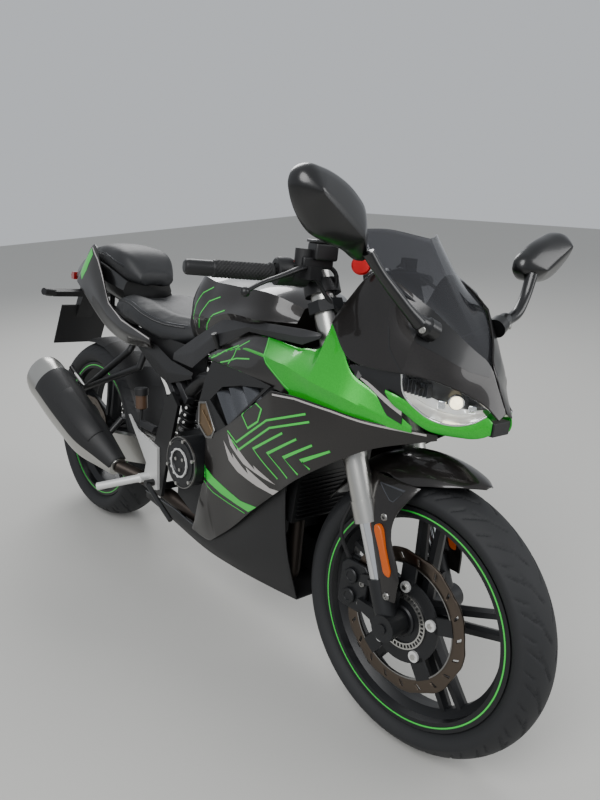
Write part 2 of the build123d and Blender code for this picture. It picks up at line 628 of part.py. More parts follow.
add("side_intakes", [trimmed(half, "lower_fairings", "upper_fairings") for half in both(intake())])
add("instruments", body_plate([(1176, 962), (1200, 970), (1226, 906), (1202, 898)], -72, 72))

# Engine: crankcase with the gearbox behind it, the leaning cylinders and the two round side covers
CRANK_Y, GEARBOX_Y, CYLINDER_Y = 102, 70, 86
crankcase = body_plate([(672, 262), (900, 248), (960, 300), (960, 430), (905, 520), (672, 500)], -CRANK_Y, CRANK_Y)
gearbox = body_plate([(672, 262), (672, 500), (596, 470), (596, 320), (540, 314), (540, 286), (596, 280)], -36, 36)
gearbox = gearbox + body_plate([(672, 262), (672, 500), (596, 470), (596, 290)], -CRANK_Y, GEARBOX_Y)
cylinders = body_plate([(800, 500), (960, 440), (1030, 640), (990, 720), (850, 730)], -CYLINDER_Y, CYLINDER_Y)
LOW_BAR, LOW_BAR_R = spot(552, 0, 300), 10
low_bar_hole = rod(LOW_BAR - Vector(0, 90, 0), LOW_BAR + Vector(0, 90, 0), LOW_BAR_R + GAP)
add("engine", (crankcase + gearbox + cylinders - low_bar_hole).solid())
COVER_X, COVER_Z, COVER_R = 736, 441, 64
clutch = rod(spot(COVER_X, -CRANK_Y - GAP, COVER_Z), spot(COVER_X, -176, COVER_Z), COVER_R)
clutch = clutch + rod(spot(COVER_X, -175, COVER_Z), spot(COVER_X, -190, COVER_Z), COVER_R - 8)
generator = rod(spot(COVER_X, CRANK_Y + GAP, COVER_Z), spot(COVER_X, 168, COVER_Z), COVER_R - 4)
add("engine_covers", [clutch, generator])
core = body_plate([(1052, 400), (1084, 397), (1108, 636), (1076, 640)], -112, 112)
for side in (-1, 1):
    core = core + peg(spot(1080, side * 76, 560), spot(980, side * 76, 560), 8, "engine")
    core = core + peg(spot(1090, side * 100, 600), spot(1090, side * 210, 600), 7, "lower_fairings")
add("radiator", core.solid())

# Frame tubes from the steering head to the swingarm pivot, and the side plates there
HEAD_LOW, HEAD_HIGH, HEAD_R, TUBE_R = LOWER_CLAMP + LOWER_THICK + 6, UPPER_CLAMP - 6, 30, 17
HEAD = STEER_FOOT + UP * (HEAD_LOW + HEAD_HIGH) / 2
PIVOT = Vector(PIVOT_X + 72, 132, 266)
STAND_AXIS = (-0.2, 1, 0.317)
FOLD = Vector(*STAND_AXIS).normalized()
PIN_R = 7.7
PLATE = [(606, 590), (578, 560), (520, 400), (528, 288), (578, 282), (600, 400), (640, 560)]
PLATE_IN, PLATE_OUT = 135, 145
frame = rod(STEER_FOOT + UP * HEAD_LOW, STEER_FOOT + UP * HEAD_HIGH, HEAD_R)
for side in (-1, 1):
    path = [HEAD + Vector(6, side * 24, 0), spot(1015, side * 104, 756), spot(690, side * 106, 640),
            spot(600, side * 106, 560)]
    frame = frame + tube(path, TUBE_R, 40)
    frame = frame + rod(spot(606, side * 100, 566), spot(606, side * PLATE_OUT, 566), 16)
    frame = frame + body_plate(PLATE, side * PLATE_IN, side * PLATE_OUT)
    frame = frame + rod(spot(900, side * 106, 706), spot(900, side * (CYLINDER_Y + GAP), 706), 14)
    frame = frame + peg(spot(800, side * 106, 679), spot(800, side * 50, 766), 9, "fuel_tank")
    frame = frame + peg(spot(800, side * 106, 679), spot(800, side * 156, 780), 7, "frame_covers")
    frame = frame + peg(spot(900, side * 106, 714), spot(900, side * 180, 674), 6, "side_intakes")
    frame = frame + peg(spot(552, side * 50, 300), spot(552, side * 50, 150), 8, "belly_pan")
frame = frame + rod(spot(572, -140, 560), spot(572, 140, 560), 13)
frame = frame + rod(LOW_BAR - Vector(0, 140, 0), LOW_BAR + Vector(0, 140, 0), LOW_BAR_R)
frame = frame + rod((PIVOT_X, -PLATE_OUT, PIVOT_Z), (PIVOT_X, PLATE_OUT, PIVOT_Z), 9)
frame = frame + rod(LOW_BAR + Vector(0, 125, 0), PIVOT - FOLD * 30, 10) + rod(PIVOT - FOLD * 38, PIVOT + FOLD * 14, PIN_R)
add("frame", (frame - rod(STEER_FOOT + UP * (HEAD_LOW - 5), STEER_FOOT + UP * (HEAD_HIGH + 5), STEM_R + GAP)).solid())

# A stay in front of the head holds the lamps, the cowl and the dials
stay = rod(HEAD + Vector(10, 0, 0), spot(1275, 0, 826), 14) + rod(spot(1275, -100, 826), spot(1275, 100, 826), 10)
stay = stay + peg(spot(1275, 0, 826), spot(1205, 0, 925), 10, "instruments")
for side in (-1, 1):
    stay = stay + peg(spot(1275, side * 100, 826), spot(1381, side * 120, 890), 8, "nose_cowl")
    stay = stay + peg(spot(1275, side * 100, 826), spot(1270, side * 195, 756), 8, "upper_fairings")
    stay = stay + peg(spot(1275, side * 100, 826), spot(1400, side * 122, 780), 8, "headlamps")
add("fairing_stay", trimmed(stay, "frame"))

# Rear frame: two rails from the frame tubes to the tail, stays below them, and what they carry
rear_frame = rod(spot(525, -86, 655), spot(525, 86, 655), 10) + rod(spot(300, -80, 697), spot(300, 80, 697), 10)
for side in (-1, 1):
    path = [spot(650, side * 105, 606), spot(595, side * 88, 643), spot(330, side * 82, 690), spot(-60, side * 60, 772)]
    rear_frame = rear_frame + tube(path, 13, 30)
    rear_frame = rear_frame + rod(spot(572, side * 84, 562), spot(230, side * 78, 708), 9)
    rear_frame = rear_frame + peg(spot(400, side * 83, 677), spot(400, side * 83, 740), 8, "rider_seat")
    rear_frame = rear_frame + peg(spot(525, side * 50, 655), spot(525, side * 50, 730), 8, "rider_seat")
    rear_frame = rear_frame + peg(spot(467, side * 84, 666), spot(467, side * 140, 655), 7, "seat_covers")
    rear_frame = rear_frame + peg(spot(150, side * 72, 728), spot(150, side * 140, 728), 7, "tail_wings")
    rear_frame = rear_frame + peg(spot(100, side * 66, 738), spot(100, side * 66, 810), 8, "tail_cowl")
    rear_frame = rear_frame + peg(spot(-40, side * 58, 768), spot(-40, side * 58, 830), 8, "tail_cowl")
add("rear_frame", trimmed(rear_frame, "frame"))

# Swingarm with the wheel axle, and the mudguard it carries
HUGGER = [
    (12, 15, 56, 12),
    (26, 15, 60, 16),
    (40, 15, 62, 18),
    (54, 15, 63, 20),
    (68, 15, 63, 20),
    (82, 15, 63, 20),
    (96, 15, 62, 18),
    (110, 15, 54, 12),
]
ARM_IN, ARM_OUT = 104, 134
add("hugger", arched(REAR_AXLE, REAR_R, HUGGER))
beam = [(fore(x), z + (REAR_R - 303 if x < 0 else 0)) for x, z in
        ((578, 412), (584, 380), (560, 362), (300, 300), (-30, 282), (-52, 303), (-30, 326), (240, 372), (520, 424))]
swingarm = side_plate(beam, ARM_IN, ARM_OUT) + side_plate(beam, -ARM_OUT, -ARM_IN)
swingarm = swingarm + body_plate([(420, 352), (500, 352), (500, 392), (420, 392)], -ARM_IN - 1, ARM_IN + 1)
swingarm = swingarm - rod((PIVOT_X, -150, PIVOT_Z), (PIVOT_X, 150, PIVOT_Z), 9 + GAP)
for side in (-1, 1):
    swingarm = swingarm + peg(spot(430, side * 40, 372), spot(290, side * 40, 372), 7, "hugger")
add("swingarm", (swingarm + rod(REAR_AXLE - Vector(0, 146, 0), REAR_AXLE + Vector(0, 146, 0), AXLE_R)).solid())
shock_foot, shock_top = spot(464, 0, 378), spot(525, 0, 655)
along = (shock_top - shock_foot).normalized()
shock = rod(shock_foot, shock_top, 15) + rod(shock_foot + along * 24, shock_foot + along * 46, 27)
for turn in range(8):
    shock = shock + rod(shock_foot + along * (50 + turn * 22), shock_foot + along * (62 + turn * 22), 30)
add("rear_shock", trimmed(shock, "swingarm", "rear_frame"))

# Exhaust: a pipe under the engine, and an oval muffler with a heat shield on its outer side
MUFFLER = [
    # middle, half width, half height
    ((404, -188, 320), 26, 30),
    ((300, -218, 372), 50, 64),
    ((200, -229, 418), 57, 72),
    ((60, -240, 480), 58, 74),
    ((0, -244, 507), 56, 70),
    ((-16, -245, 514), 48, 60),
]
OVAL_STEPS, SHIELD_STEPS, SHIELD_T = 16, range(-5, 6), 5
run = (spot(*MUFFLER[-1][0]) - spot(*MUFFLER[0][0])).normalized()
muffler_up = Vector(run.Z, 0, -run.X).normalized()
muffler_out = muffler_up.cross(run)


def oval(station, grow, steps):
    centre, w, h = station
    turns = [math.tau * k / OVAL_STEPS for k in steps]
    return [spot(*centre) + muffler_out * ((w + grow) * math.cos(a)) + muffler_up * ((h + grow) * math.sin(a))
            for a in turns]


muffler = Solid.make_loft([Wire.make_polygon(oval(s, 0, range(OVAL_STEPS)), close=True) for s in MUFFLER], ruled=True)
muffler_end = spot(*MUFFLER[-1][0])
muffler = muffler - rod(muffler_end - run * 26, muffler_end + run * 5, 26)
muffler = muffler + peg(spot(330, -200, 370), spot(330, -140, 440), 8, "swingarm")
add("muffler", muffler.solid())
shield = Solid.make_loft([Wire.make_polygon(oval(s, SHIELD_T, SHIELD_STEPS) + oval(s, GAP, SHIELD_STEPS)[::-1],
                                            close=True) for s in MUFFLER[:4]], ruled=True)
pipe = tube([spot(980, -44, 548), spot(1030, -44, 548), spot(1030, -44, 212), spot(700, -44, 212),
             spot(540, -100, 268), spot(470, -128, 292), spot(400, -186, 322)], 19, 36)
add("exhaust_pipe", trimmed(pipe, "engine", "muffler"))
add("muffler_shield", trimmed(shield, "exhaust_pipe"))

# Mirrors: a round foot on the cowl, a bent stalk and a leaf-shaped head, the left one turned further out
MIRROR_HEAD = [(233, 1018), (341, 1027), (408, 1089), (381, 1136), (308, 1120), (247, 1087)]
MIRROR_MID, MIRROR_JOINT, LEFT_TURN = (325, 1080), (228, 1012), 12
STALK = [(1381, 150, 912), (1365, 212, 954), (1345, 244, 997), (1332, 238, 1024)]


def mirror_head(side):
    turn = math.radians(LEFT_TURN if side > 0 else 0)
    stations = []
    for x, share in ((1300, 0.9), (1308, 1.0), (1330, 1.0), (1366, 0.62)):
        points = []
        for y, z in MIRROR_HEAD:
            dy = MIRROR_MID[0] + (y - MIRROR_MID[0]) * share - MIRROR_JOINT[0]
            dz = MIRROR_MID[1] + (z - MIRROR_MID[1]) * share - MIRROR_JOINT[1]
            points.append((side * (MIRROR_JOINT[0] + dy * math.cos(turn) + dz * math.sin(turn)),
                           MIRROR_JOINT[1] - dy * math.sin(turn) + dz * math.cos(turn)))
        stations.append((x, points))
    return loft_closed(stations)


mirrors = []
for side in (-1, 1):
    stalk = tube([spot(x, side * y, z) for x, y, z in STALK], 10, 16)
    knob = peg(spot(1389, side * 100, 888), spot(1381, side * 156, 914), 17, "nose_cowl")
    mirrors.append((stalk + knob + mirror_head(side)).solid())
add("mirrors", mirrors)

# Foot pegs on their hangers, the controls beside them, and the passenger pegs under the tail
HANGER = [(393, 472), (440, 440), (560, 420), (570, 300), (532, 290), (490, 304), (504, 360)]
HANGER_IN, HANGER_OUT = PLATE_OUT + GAP, PLATE_OUT + 8
hangers, pedals, struts = [], [], []
for side in (-1, 1):
    hanger = body_plate(HANGER, side * HANGER_IN, side * HANGER_OUT)
    hanger = hanger + rod(spot(516, side * 150, 322), spot(516, side * 180, 322), 13)
    hangers.append((hanger + rod(spot(516, side * 170, 322), spot(430, side * 262, 282), 11)).solid())
    arm = tube([spot(548, side * 172, 316), spot(620, side * 176, 288), spot(690, side * 180, 264)], 7, 60)
    pedals.append((arm + rod(spot(548, side * (HANGER_OUT + GAP), 316), spot(548, side * 178, 316), 10)).solid())
    joint = spot(100, side * 150, 482)
    strut = rod(joint, spot(38, side * 172, 540), 8)
    for rail, knee in (((310, 80, 694), (300, 106, 640)), ((372, 82, 682), (362, 106, 602))):
        start, bend = [spot(x, side * y, z) for x, y, z in (rail, knee)]
        strut = strut + rod(start, bend, 10) + Solid.make_sphere(10, Plane(bend)) + rod(bend, joint, 10)
    struts.append(trimmed(strut, "rear_frame"))
add("peg_hangers", hangers)
add("foot_controls", pedals)
add("passenger_pegs", struts)
cup = rod(spot(416, -124, 492), spot(410, -124, 548), 17) + rod(spot(410.5, -124, 542), spot(409, -124, 560), 20)
add("reservoir", (cup + peg(spot(414, -124, 505), spot(440, -158, 415), 6, "peg_hangers")).solid())

# Chain: an open-sided band round both sprockets, clear of the teeth
DRIVE = spot(618, 0, 384)
BAND_OUT, BAND_IN, LINK_IN, LINK_T, CHAIN_HALF = 7, TOOTH_UP + 0.6, -7, 2.2, 6


def chain_loop(grow, y):
    """The closed line round both sprockets, grown from the circle of the chain's pins."""
    run = DRIVE - REAR_AXLE
    heading = math.degrees(math.atan2(run.Z, run.X))
    spread = math.degrees(math.acos((SPROCKET_R - DRIVE_R) / run.length))
    front = [around(DRIVE, heading + a, DRIVE_R + grow, y) for a in (spread, 0, -spread)]
    back = [around(REAR_AXLE, heading + a, SPROCKET_R + grow, y) for a in (-spread, 180, spread)]
    return Wire([Edge.make_three_point_arc(*front), Edge.make_line(front[2], back[0]),
                 Edge.make_three_point_arc(*back), Edge.make_line(back[2], front[0])])


def chain_band(outer, inner, y0, y1):
    return Solid.extrude(Face(chain_loop(outer, y0), [chain_loop(inner, y0)]), Vector(0, y1 - y0, 0))


chain = chain_band(BAND_OUT, BAND_IN, SPROCKET_Y - CHAIN_HALF, SPROCKET_Y + CHAIN_HALF)
for y in (SPROCKET_Y - CHAIN_HALF, SPROCKET_Y + CHAIN_HALF - LINK_T):
    chain = chain + chain_band(BAND_OUT, LINK_IN, y, y + LINK_T)
add("drive_chain", chain.solid())
drive = toothed(DRIVE, SPROCKET_Y, DRIVE_TEETH, DRIVE_R + TOOTH_UP, DRIVE_R - TOOTH_DOWN, 13, SPROCKET_T / 2)
add("drive_sprocket", (drive + rod(DRIVE + Vector(0, GEARBOX_Y + GAP, 0), DRIVE + Vector(0, 92, 0), 14)).solid())


def side_stand():
    """The leg from a collar round the frame's pin down to a pad on the ground, on the left."""
    ground = STAND_FOOT_Y * math.tan(math.radians(LEAN)) - SETTLE
    ankle = spot(STAND_FOOT_X, STAND_FOOT_Y, ground + 12)
    level = Plane(ankle - Vector(0, 0, 12), z_dir=(0, -math.sin(math.radians(LEAN)), math.cos(math.radians(LEAN))))
    bar = rod(PIVOT, ankle, 11) + rod(PIVOT - FOLD * 7, PIVOT + FOLD * 12, 18)
    bar = bar + Solid.make_cylinder(26, 10, level) - rod(PIVOT - FOLD * 30, PIVOT + FOLD * 30, PIN_R + GAP)
    return bar.solid()


add("side_stand", side_stand())

# Into the stored pose: steering turned, then leaned, then moved to the origin
for name, shapes in nodes.items():
    posed = []
    for shape in shapes:
        if name in steered:
            shape = shape.rotate(STEER_AXIS, STEER_REST)
        shape = shape.rotate(Axis.X, -LEAN)
        posed.extend(shape.moved(Location((-ORIGIN_X, -ORIGIN_Y, SETTLE))).solids())
    export_step(posed[0] if len(posed) == 1 else Compound(children=posed), f"parts/{name}.step")
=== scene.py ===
import json
import math
import bpy
import bmesh
import numpy as np
from mathutils import Matrix, Vector
from mathutils.bvhtree import BVHTree

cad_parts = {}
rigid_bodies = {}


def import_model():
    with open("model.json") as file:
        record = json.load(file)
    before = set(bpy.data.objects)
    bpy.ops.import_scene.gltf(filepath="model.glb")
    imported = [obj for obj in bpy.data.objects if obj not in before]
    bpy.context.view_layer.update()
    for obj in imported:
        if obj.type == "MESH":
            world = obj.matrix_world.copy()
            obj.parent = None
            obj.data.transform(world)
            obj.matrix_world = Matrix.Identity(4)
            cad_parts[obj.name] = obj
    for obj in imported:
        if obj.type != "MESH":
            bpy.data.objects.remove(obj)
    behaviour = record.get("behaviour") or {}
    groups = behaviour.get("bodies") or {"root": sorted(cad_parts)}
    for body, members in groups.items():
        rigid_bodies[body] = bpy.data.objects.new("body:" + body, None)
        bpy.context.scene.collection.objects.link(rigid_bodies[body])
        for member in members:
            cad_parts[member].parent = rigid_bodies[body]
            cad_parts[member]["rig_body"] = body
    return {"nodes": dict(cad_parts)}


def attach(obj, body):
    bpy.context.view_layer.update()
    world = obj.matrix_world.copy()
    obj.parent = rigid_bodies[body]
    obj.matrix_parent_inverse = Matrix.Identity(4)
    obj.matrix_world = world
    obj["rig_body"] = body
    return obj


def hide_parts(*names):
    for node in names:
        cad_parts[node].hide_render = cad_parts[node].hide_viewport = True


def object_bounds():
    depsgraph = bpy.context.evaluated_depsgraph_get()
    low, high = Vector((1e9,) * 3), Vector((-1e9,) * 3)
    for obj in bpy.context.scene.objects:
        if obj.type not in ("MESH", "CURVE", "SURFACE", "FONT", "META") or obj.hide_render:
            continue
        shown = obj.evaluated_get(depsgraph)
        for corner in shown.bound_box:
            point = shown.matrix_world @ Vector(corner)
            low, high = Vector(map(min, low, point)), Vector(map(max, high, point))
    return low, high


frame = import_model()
CAD_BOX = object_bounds()
NODES = frame["nodes"]

# %% [markdown]
# A parked motorcycle leans, and its bars are never quite straight. Working on a leaning shape is awkward,
# so every surface below is drawn on the upright machine, in millimetres: X forward from the rear axle,
# Y to the left, Z up from the ground. One function then turns the steered parts about the steering axis,
# leans everything onto the side stand and scales to metres.

# %% Upright machine to parked machine
WHEELBASE, FRONT_R, REAR_R, RIM_R = 1379, 293, 303, 232
RAKE, TRAIL, LEAN, STEER = math.radians(24.5), 98, math.radians(8.9), math.radians(2.4)
# The middle of the parked machine's floor space, seen from the foot of the rear wheel
ORIGIN = np.array([683, 169, -0.7])
UP = np.array([-math.sin(RAKE), 0, math.cos(RAKE)])
AHEAD = np.array([math.cos(RAKE), 0, math.sin(RAKE)])
FRONT_AXLE, REAR_AXLE = np.array([WHEELBASE, 0, FRONT_R]), np.array([0, 0, REAR_R])
STEER_FOOT = FRONT_AXLE - AHEAD * (FRONT_R * math.sin(RAKE) - TRAIL * math.cos(RAKE))
TURN = np.array(Matrix.Rotation(STEER, 3, Vector(UP)))
TILT = np.array(Matrix.Rotation(-LEAN, 3, "X"))
STEERED = ("steering", "front_wheel")
SIDES = ((-1, "right"), (1, "left"))


def parked(points, body="chassis"):
    """Points of the upright machine in millimetres, as points of the parked one in metres."""
    p = np.asarray(points, float)
    if body in STEERED:
        p = STEER_FOOT + (p - STEER_FOOT) @ TURN.T
    return (p @ TILT.T - ORIGIN) / 1000


print("front axle parked at", parked(FRONT_AXLE, "front_wheel").round(3), "m")

# %% [markdown]
# Body panels of a sport bike are moulded shells: smooth sheets that change direction at a few crisp folds.
# They could be sculpted, or pushed out of a cube. A table of stations is surer: each row is a cut across
# the machine, and a smooth curve runs through the rows. Where a row or a column is named as a fold,
# the curve stops there and starts again, so the fold stays sharp.

# %% Smooth curves through rows of points
def through(rows, steps, folds=()):
    """A cubic curve through rows of points, so many steps from row to row, broken at the folds."""
    rows = np.asarray(rows, float)
    stops = sorted({0, len(rows) - 1, *folds})
    out = [rows[:1]]
    for first, last in zip(stops, stops[1:]):
        run = rows[first:last + 1]
        gaps = np.array([max(np.linalg.norm(b - a, axis=-1).mean(), 1e-6) for a, b in zip(run, run[1:])])
        rate = np.stack([(b - a) / g for a, b, g in zip(run, run[1:], gaps)])
        middle = [(gaps[i] * rate[i - 1] + gaps[i - 1] * rate[i]) / (gaps[i - 1] + gaps[i])
                  for i in range(1, len(gaps))]
        slope = np.stack([rate[0], *middle, rate[-1]])
        for i, g in enumerate(gaps):
            for s in np.arange(1, steps + 1) / steps:
                a, b = (1 + 2 * s) * (1 - s) ** 2, s * (1 - s) ** 2 * g
                c, d = s * s * (3 - 2 * s), s * s * (s - 1) * g
                out.append((a * run[i] + b * slope[i] + c * run[i + 1] + d * slope[i + 1])[None])
    return np.concatenate(out)


def crosswise(rows, steps, folds=()):
    """The same the other way: a smooth curve through the columns of a grid."""
    return through(np.asarray(rows, float).swapaxes(0, 1), steps, folds).swapaxes(0, 1)


print(len(through([(0, 0), (1, 0), (1, 1)], 6)), "points on a trial curve of three rows")

# %% [markdown]
# Every piece here ends as a mesh that stands where it belongs and rides on one rigid body of the machine.
# Its shading is smooth, apart from edges that turn by more than a given angle. A closed mesh has its
# doubles merged and its faces turned outwards, because a face that looks inwards shows dark and prints badly.

# %% From points to a piece
def placed(name, data):
    ob = bpy.data.objects.new(name, data)
    bpy.context.scene.collection.objects.link(ob)
    return ob


def baked(ob):
    """The mesh that an object shows, with its modifiers worked in."""
    return bpy.data.meshes.new_from_object(ob.evaluated_get(bpy.context.evaluated_depsgraph_get()))


def stands_for(ob, node_name):
    """Hides the CAD node that a finished piece takes the place of."""
    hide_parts(node_name)
    return ob


def piece(name, points, faces, material, body="chassis", sharp=28, turned=False):
    """A mesh of upright points on a body, parked; turned says that the steering is in its points already."""
    mesh = bpy.data.meshes.new(name)
    places = parked(points, "chassis" if turned else body)
    mesh.from_pydata(places.tolist(), [], [list(map(int, f)) for f in faces])
    mesh.validate()
    mesh.materials.append(material)
    ob = placed(name, mesh)
    mesh.shade_smooth()
    mesh.set_sharp_from_angle(angle=math.radians(sharp))
    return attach(ob, body)


def outward(ob):
    """Points the faces of a closed mesh outwards, its doubles merged first."""
    bm = bmesh.new()
    bm.from_mesh(ob.data)
    bmesh.ops.remove_doubles(bm, verts=bm.verts, dist=1e-6)
    bmesh.ops.recalc_face_normals(bm, faces=bm.faces)
    bm.to_mesh(ob.data)
    bm.free()
    return ob


def eased(ob, rim, segments=2, angle=30):
    """Rounds the edges of a piece that turn by more than an angle, by a width in millimetres."""
    edge = ob.modifiers.new("edge", "BEVEL")
    edge.width, edge.segments, edge.angle_limit = rim / 1000, segments, math.radians(angle)
    return ob


def grid_faces(rows, cols, closed=False):
    return [[i * cols + j, i * cols + (j + 1) % cols, (i + 1) * cols + (j + 1) % cols, (i + 1) * cols + j]
            for i in range(rows - 1) for j in range(cols if closed else cols - 1)]


def tube_faces(rows, cols):
    """The sides of a tube of rings, and a cap at each end."""
    return grid_faces(rows, cols, closed=True) + [range(cols), range((rows - 1) * cols, rows * cols)]


print(len(tube_faces(4, 12)), "faces on a trial tube")

# %% [markdown]
# A moulded panel is a sheet with an even wall. Solidify grows that wall inwards from the outer face, which
# keeps the outer face true, and a small bevel eases the free edges so that they catch a line of light.
# Tanks, seats and tails are closed bodies instead: half outlines on stations, mirrored to the other side.

# %% Sheets and closed bodies
def shell(name, grid, thick, out, material, body="chassis", sharp=28, rim=0.8):
    """A sheet through a grid of upright points, with its wall grown inwards and its edges eased."""
    points = grid.reshape(-1, 3)
    faces = grid_faces(*grid.shape[:2])
    corner = [points[column] for column in np.array(faces).T]
    if np.cross(corner[2] - corner[0], corner[3] - corner[1]).sum(0) @ np.array(out) < 0:
        faces = [f[::-1] for f in faces]
    ob = piece(name, points, faces, material, body, sharp)
    wall = ob.modifiers.new("wall", "SOLIDIFY")
    wall.thickness, wall.offset, wall.use_even_offset = thick / 1000, -1, True
    return eased(ob, rim, angle=50)


def stations(table):
    """A table of (x, [(distance from the middle, z), ...]) as a grid of points."""
    return np.array([[(x, w, z) for w, z in line] for x, line in table], float)


def both_sides(name, table, thick, material, steps=(6, 6), folds=(), cuts=()):
    """The right and the left shell of one panel, folded along some columns and some rows of its table."""
    grid = crosswise(through(stations(table), steps[0], cuts), steps[1], folds)
    return [shell(f"{name}_{word}", grid * (1, side, 1), thick, (0, side, 0), material)
            for side, word in SIDES]


def solid_body(name, table, material, steps=(6, 5), folds=(), sharp=28):
    """A closed smooth body from half outlines (w, z), from the top middle to the bottom middle."""
    half = crosswise(through(stations(table), steps[0]), steps[1], folds)
    ring = np.concatenate([half, half[:, ::-1][:, 1:-1] * (1, -1, 1)], axis=1)
    return outward(piece(name, ring.reshape(-1, 3), tube_faces(*ring.shape[:2]), material, sharp=sharp))


print("sheets and bodies ready")

# %% [markdown]
# Bars, hoses and springs are round tubes along a line. Lids, lenses and bolts are turned on a lathe: one
# profile, spun about an axis. Flat brackets are plates, and housings are blocks. Each maker takes plain
# sizes in millimetres, so that a piece further down is one readable line.

# %% Tubes, turned parts, plates and blocks
def swept(name, line, radius, material, body="chassis", sides=20, steps=6, squash=1.0):
    """A round bar along a smooth line; radius is one number or one for each point, squash flattens it."""
    line = np.asarray(line, float)
    track = through(np.column_stack([line, np.broadcast_to(radius, len(line))]), steps)
    path, radii = track[:, :3], track[:, 3]
    ahead = np.gradient(path, axis=0)
    ahead /= np.linalg.norm(ahead, axis=1)[:, None]
    side = np.cross(ahead[0], (0, 0, 1) if abs(ahead[0][2]) < 0.9 else (1, 0, 0))
    points = []
    for p, t, r in zip(path, ahead, radii):
        side = side - t * (side @ t)
        side /= np.linalg.norm(side)
        over = np.cross(t, side)
        points += [p + r * (side * math.cos(a) + squash * over * math.sin(a))
                   for a in np.arange(sides) * math.tau / sides]
    return outward(piece(name, points, tube_faces(len(path), sides), material, body, 40))


def lathe(name, centre, axis, profile, material, body="chassis", sides=64, close=False):
    """A profile of (distance along the axis, radius), turned about the axis; open ends are capped."""
    axis = np.asarray(axis, float) / np.linalg.norm(axis)
    side = np.cross(axis, (1, 0, 0) if abs(axis[0]) < 0.9 else (0, 0, 1))
    side /= np.linalg.norm(side)
    over = np.cross(axis, side)
    points = [np.asarray(centre) + axis * d + r * (side * math.cos(a) + over * math.sin(a))
              for d, r in profile for a in np.arange(sides) * math.tau / sides]
    if close:
        faces = [[v % len(points) for v in f] for f in grid_faces(len(profile) + 1, sides, closed=True)]
    else:
        faces = tube_faces(len(profile), sides)
    return outward(piece(name, points, faces, material, body, 30))


def flat_ring(name, centre, axis, low, high, inner, outer, material, body="chassis", sides=64):
    """A ring of rectangular section, between two distances along its axis and between two radii."""
    section = [(low, inner), (low, outer), (high, outer), (high, inner)]
    return lathe(name, centre, axis, section, material, body, sides, close=True)


def plate(name, outline, y0, y1, material, body="chassis", rim=0.8):
    """A flat outline of (x, z) between two distances from the middle plane, its edges eased."""
    points = [(x, y, z) for y in (y0, y1) for x, z in outline]
    return eased(outward(piece(name, points, tube_faces(2, len(outline)), material, body)), rim)


def block(name, centre, size, material, body="chassis", axes=None, rim=2.0):
    """A box with eased edges; axes are its three directions where it isn't square to the machine."""
    frame_of = np.eye(3) if axes is None else np.array(axes, float)
    corners = [(a, b, c) for a in (-1, 1) for b in (-1, 1) for c in (-1, 1)]
    points = [np.asarray(centre) + frame_of.T @ (np.array(c) * np.array(size) / 2) for c in corners]
    faces = [(0, 1, 3, 2), (4, 6, 7, 5), (0, 4, 5, 1), (2, 3, 7, 6), (0, 2, 6, 4), (1, 5, 7, 3)]
    return eased(outward(piece(name, points, faces, material, body)), rim, 3)


print("makers ready")

# %% [markdown]
# Painted stripes and graphics are thin films on the panel, so they are drawn as thin meshes rather than
# as pictures: an outline in side view is cut into a fine grid, and every point of it is dropped along Y
# onto the panel, a third of a millimetre proud. Such a film stays crisp at any distance.

# %% Films dropped onto a panel
TREES = {}


def panel_tree(panel):
    """The panel's outer surface on the upright machine, ready for rays."""
    if panel.name not in TREES:
        p = np.array([v.co for v in panel.data.vertices]) * 1000 + ORIGIN
        faces = [tuple(f.vertices) for f in panel.data.polygons]
        TREES[panel.name] = BVHTree.FromPolygons((p @ TILT).tolist(), faces)
    return TREES[panel.name]


def film(name, panel, outline, side, material, lift=0.35, cell=7, reach=10):
    """A polygon in side view (x, z), dropped onto a panel from its own side."""
    bm = bmesh.new()
    bm.faces.new([bm.verts.new((x, 0, z)) for x, z in outline])
    for axis, values in zip((0, 2), np.array(outline).T):
        for at in np.arange(min(values) + cell / 2, max(values), cell):
            where, way = [0, 0, 0], [0, 0, 0]
            where[axis], way[axis] = at, 1
            bmesh.ops.bisect_plane(bm, geom=bm.verts[:] + bm.edges[:] + bm.faces[:], plane_co=where,
                                   plane_no=way)
    tree = panel_tree(panel)
    # a point that misses the panel's edge takes the nearest place round it that hits
    ways = [(0, 0)] + [(r * math.cos(a), r * math.sin(a)) for r in range(1, reach + 1)
                       for a in np.arange(8) * math.pi / 4]
    kept = {}
    for v in bm.verts:
        for dx, dz in ways:
            start = Vector((v.co.x + dx, side * 400, v.co.z + dz))
            hit, normal, _, _ = tree.ray_cast(start, Vector((0, -side, 0)))
            if hit is not None:
                kept[v] = hit + normal * (lift if normal.y * side > 0 else -lift)
                break
    order = {v: i for i, v in enumerate(kept)}
    faces = [[order[v] for v in f.verts] for f in bm.faces if all(v in kept for v in f.verts)]
    points = [tuple(p) for p in kept.values()]
    bm.free()
    ob = piece(name, points, faces, material, panel["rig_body"], turned=True)
    if sum(1 for p in ob.data.polygons if p.normal.y * side < 0) * 2 > len(ob.data.polygons):
        ob.data.flip_normals()
    return ob


def band(points, width):
    """The outline of a stripe of one width along a broken line in side view."""
    p = np.asarray(points, float)
    ahead = np.gradient(p, axis=0)
    ahead /= np.linalg.norm(ahead, axis=1)[:, None]
    square = np.column_stack([-ahead[:, 1], ahead[:, 0]])
    grow = [1.0]
    for a, b in zip(np.diff(p, axis=0), np.diff(p, axis=0)[1:]):
        turn = math.acos(np.clip(a @ b / np.linalg.norm(a) / np.linalg.norm(b), -1, 1))
        grow.append(1 / max(math.cos(turn / 2), 0.5))
    grow = np.array(grow + [1.0])[:, None] * width / 2
    return [tuple(q) for q in p + square * grow] + [tuple(q) for q in (p - square * grow)[::-1]]


print("a straight stripe has", len(band([(0, 0), (10, 0)], 2)), "corners")

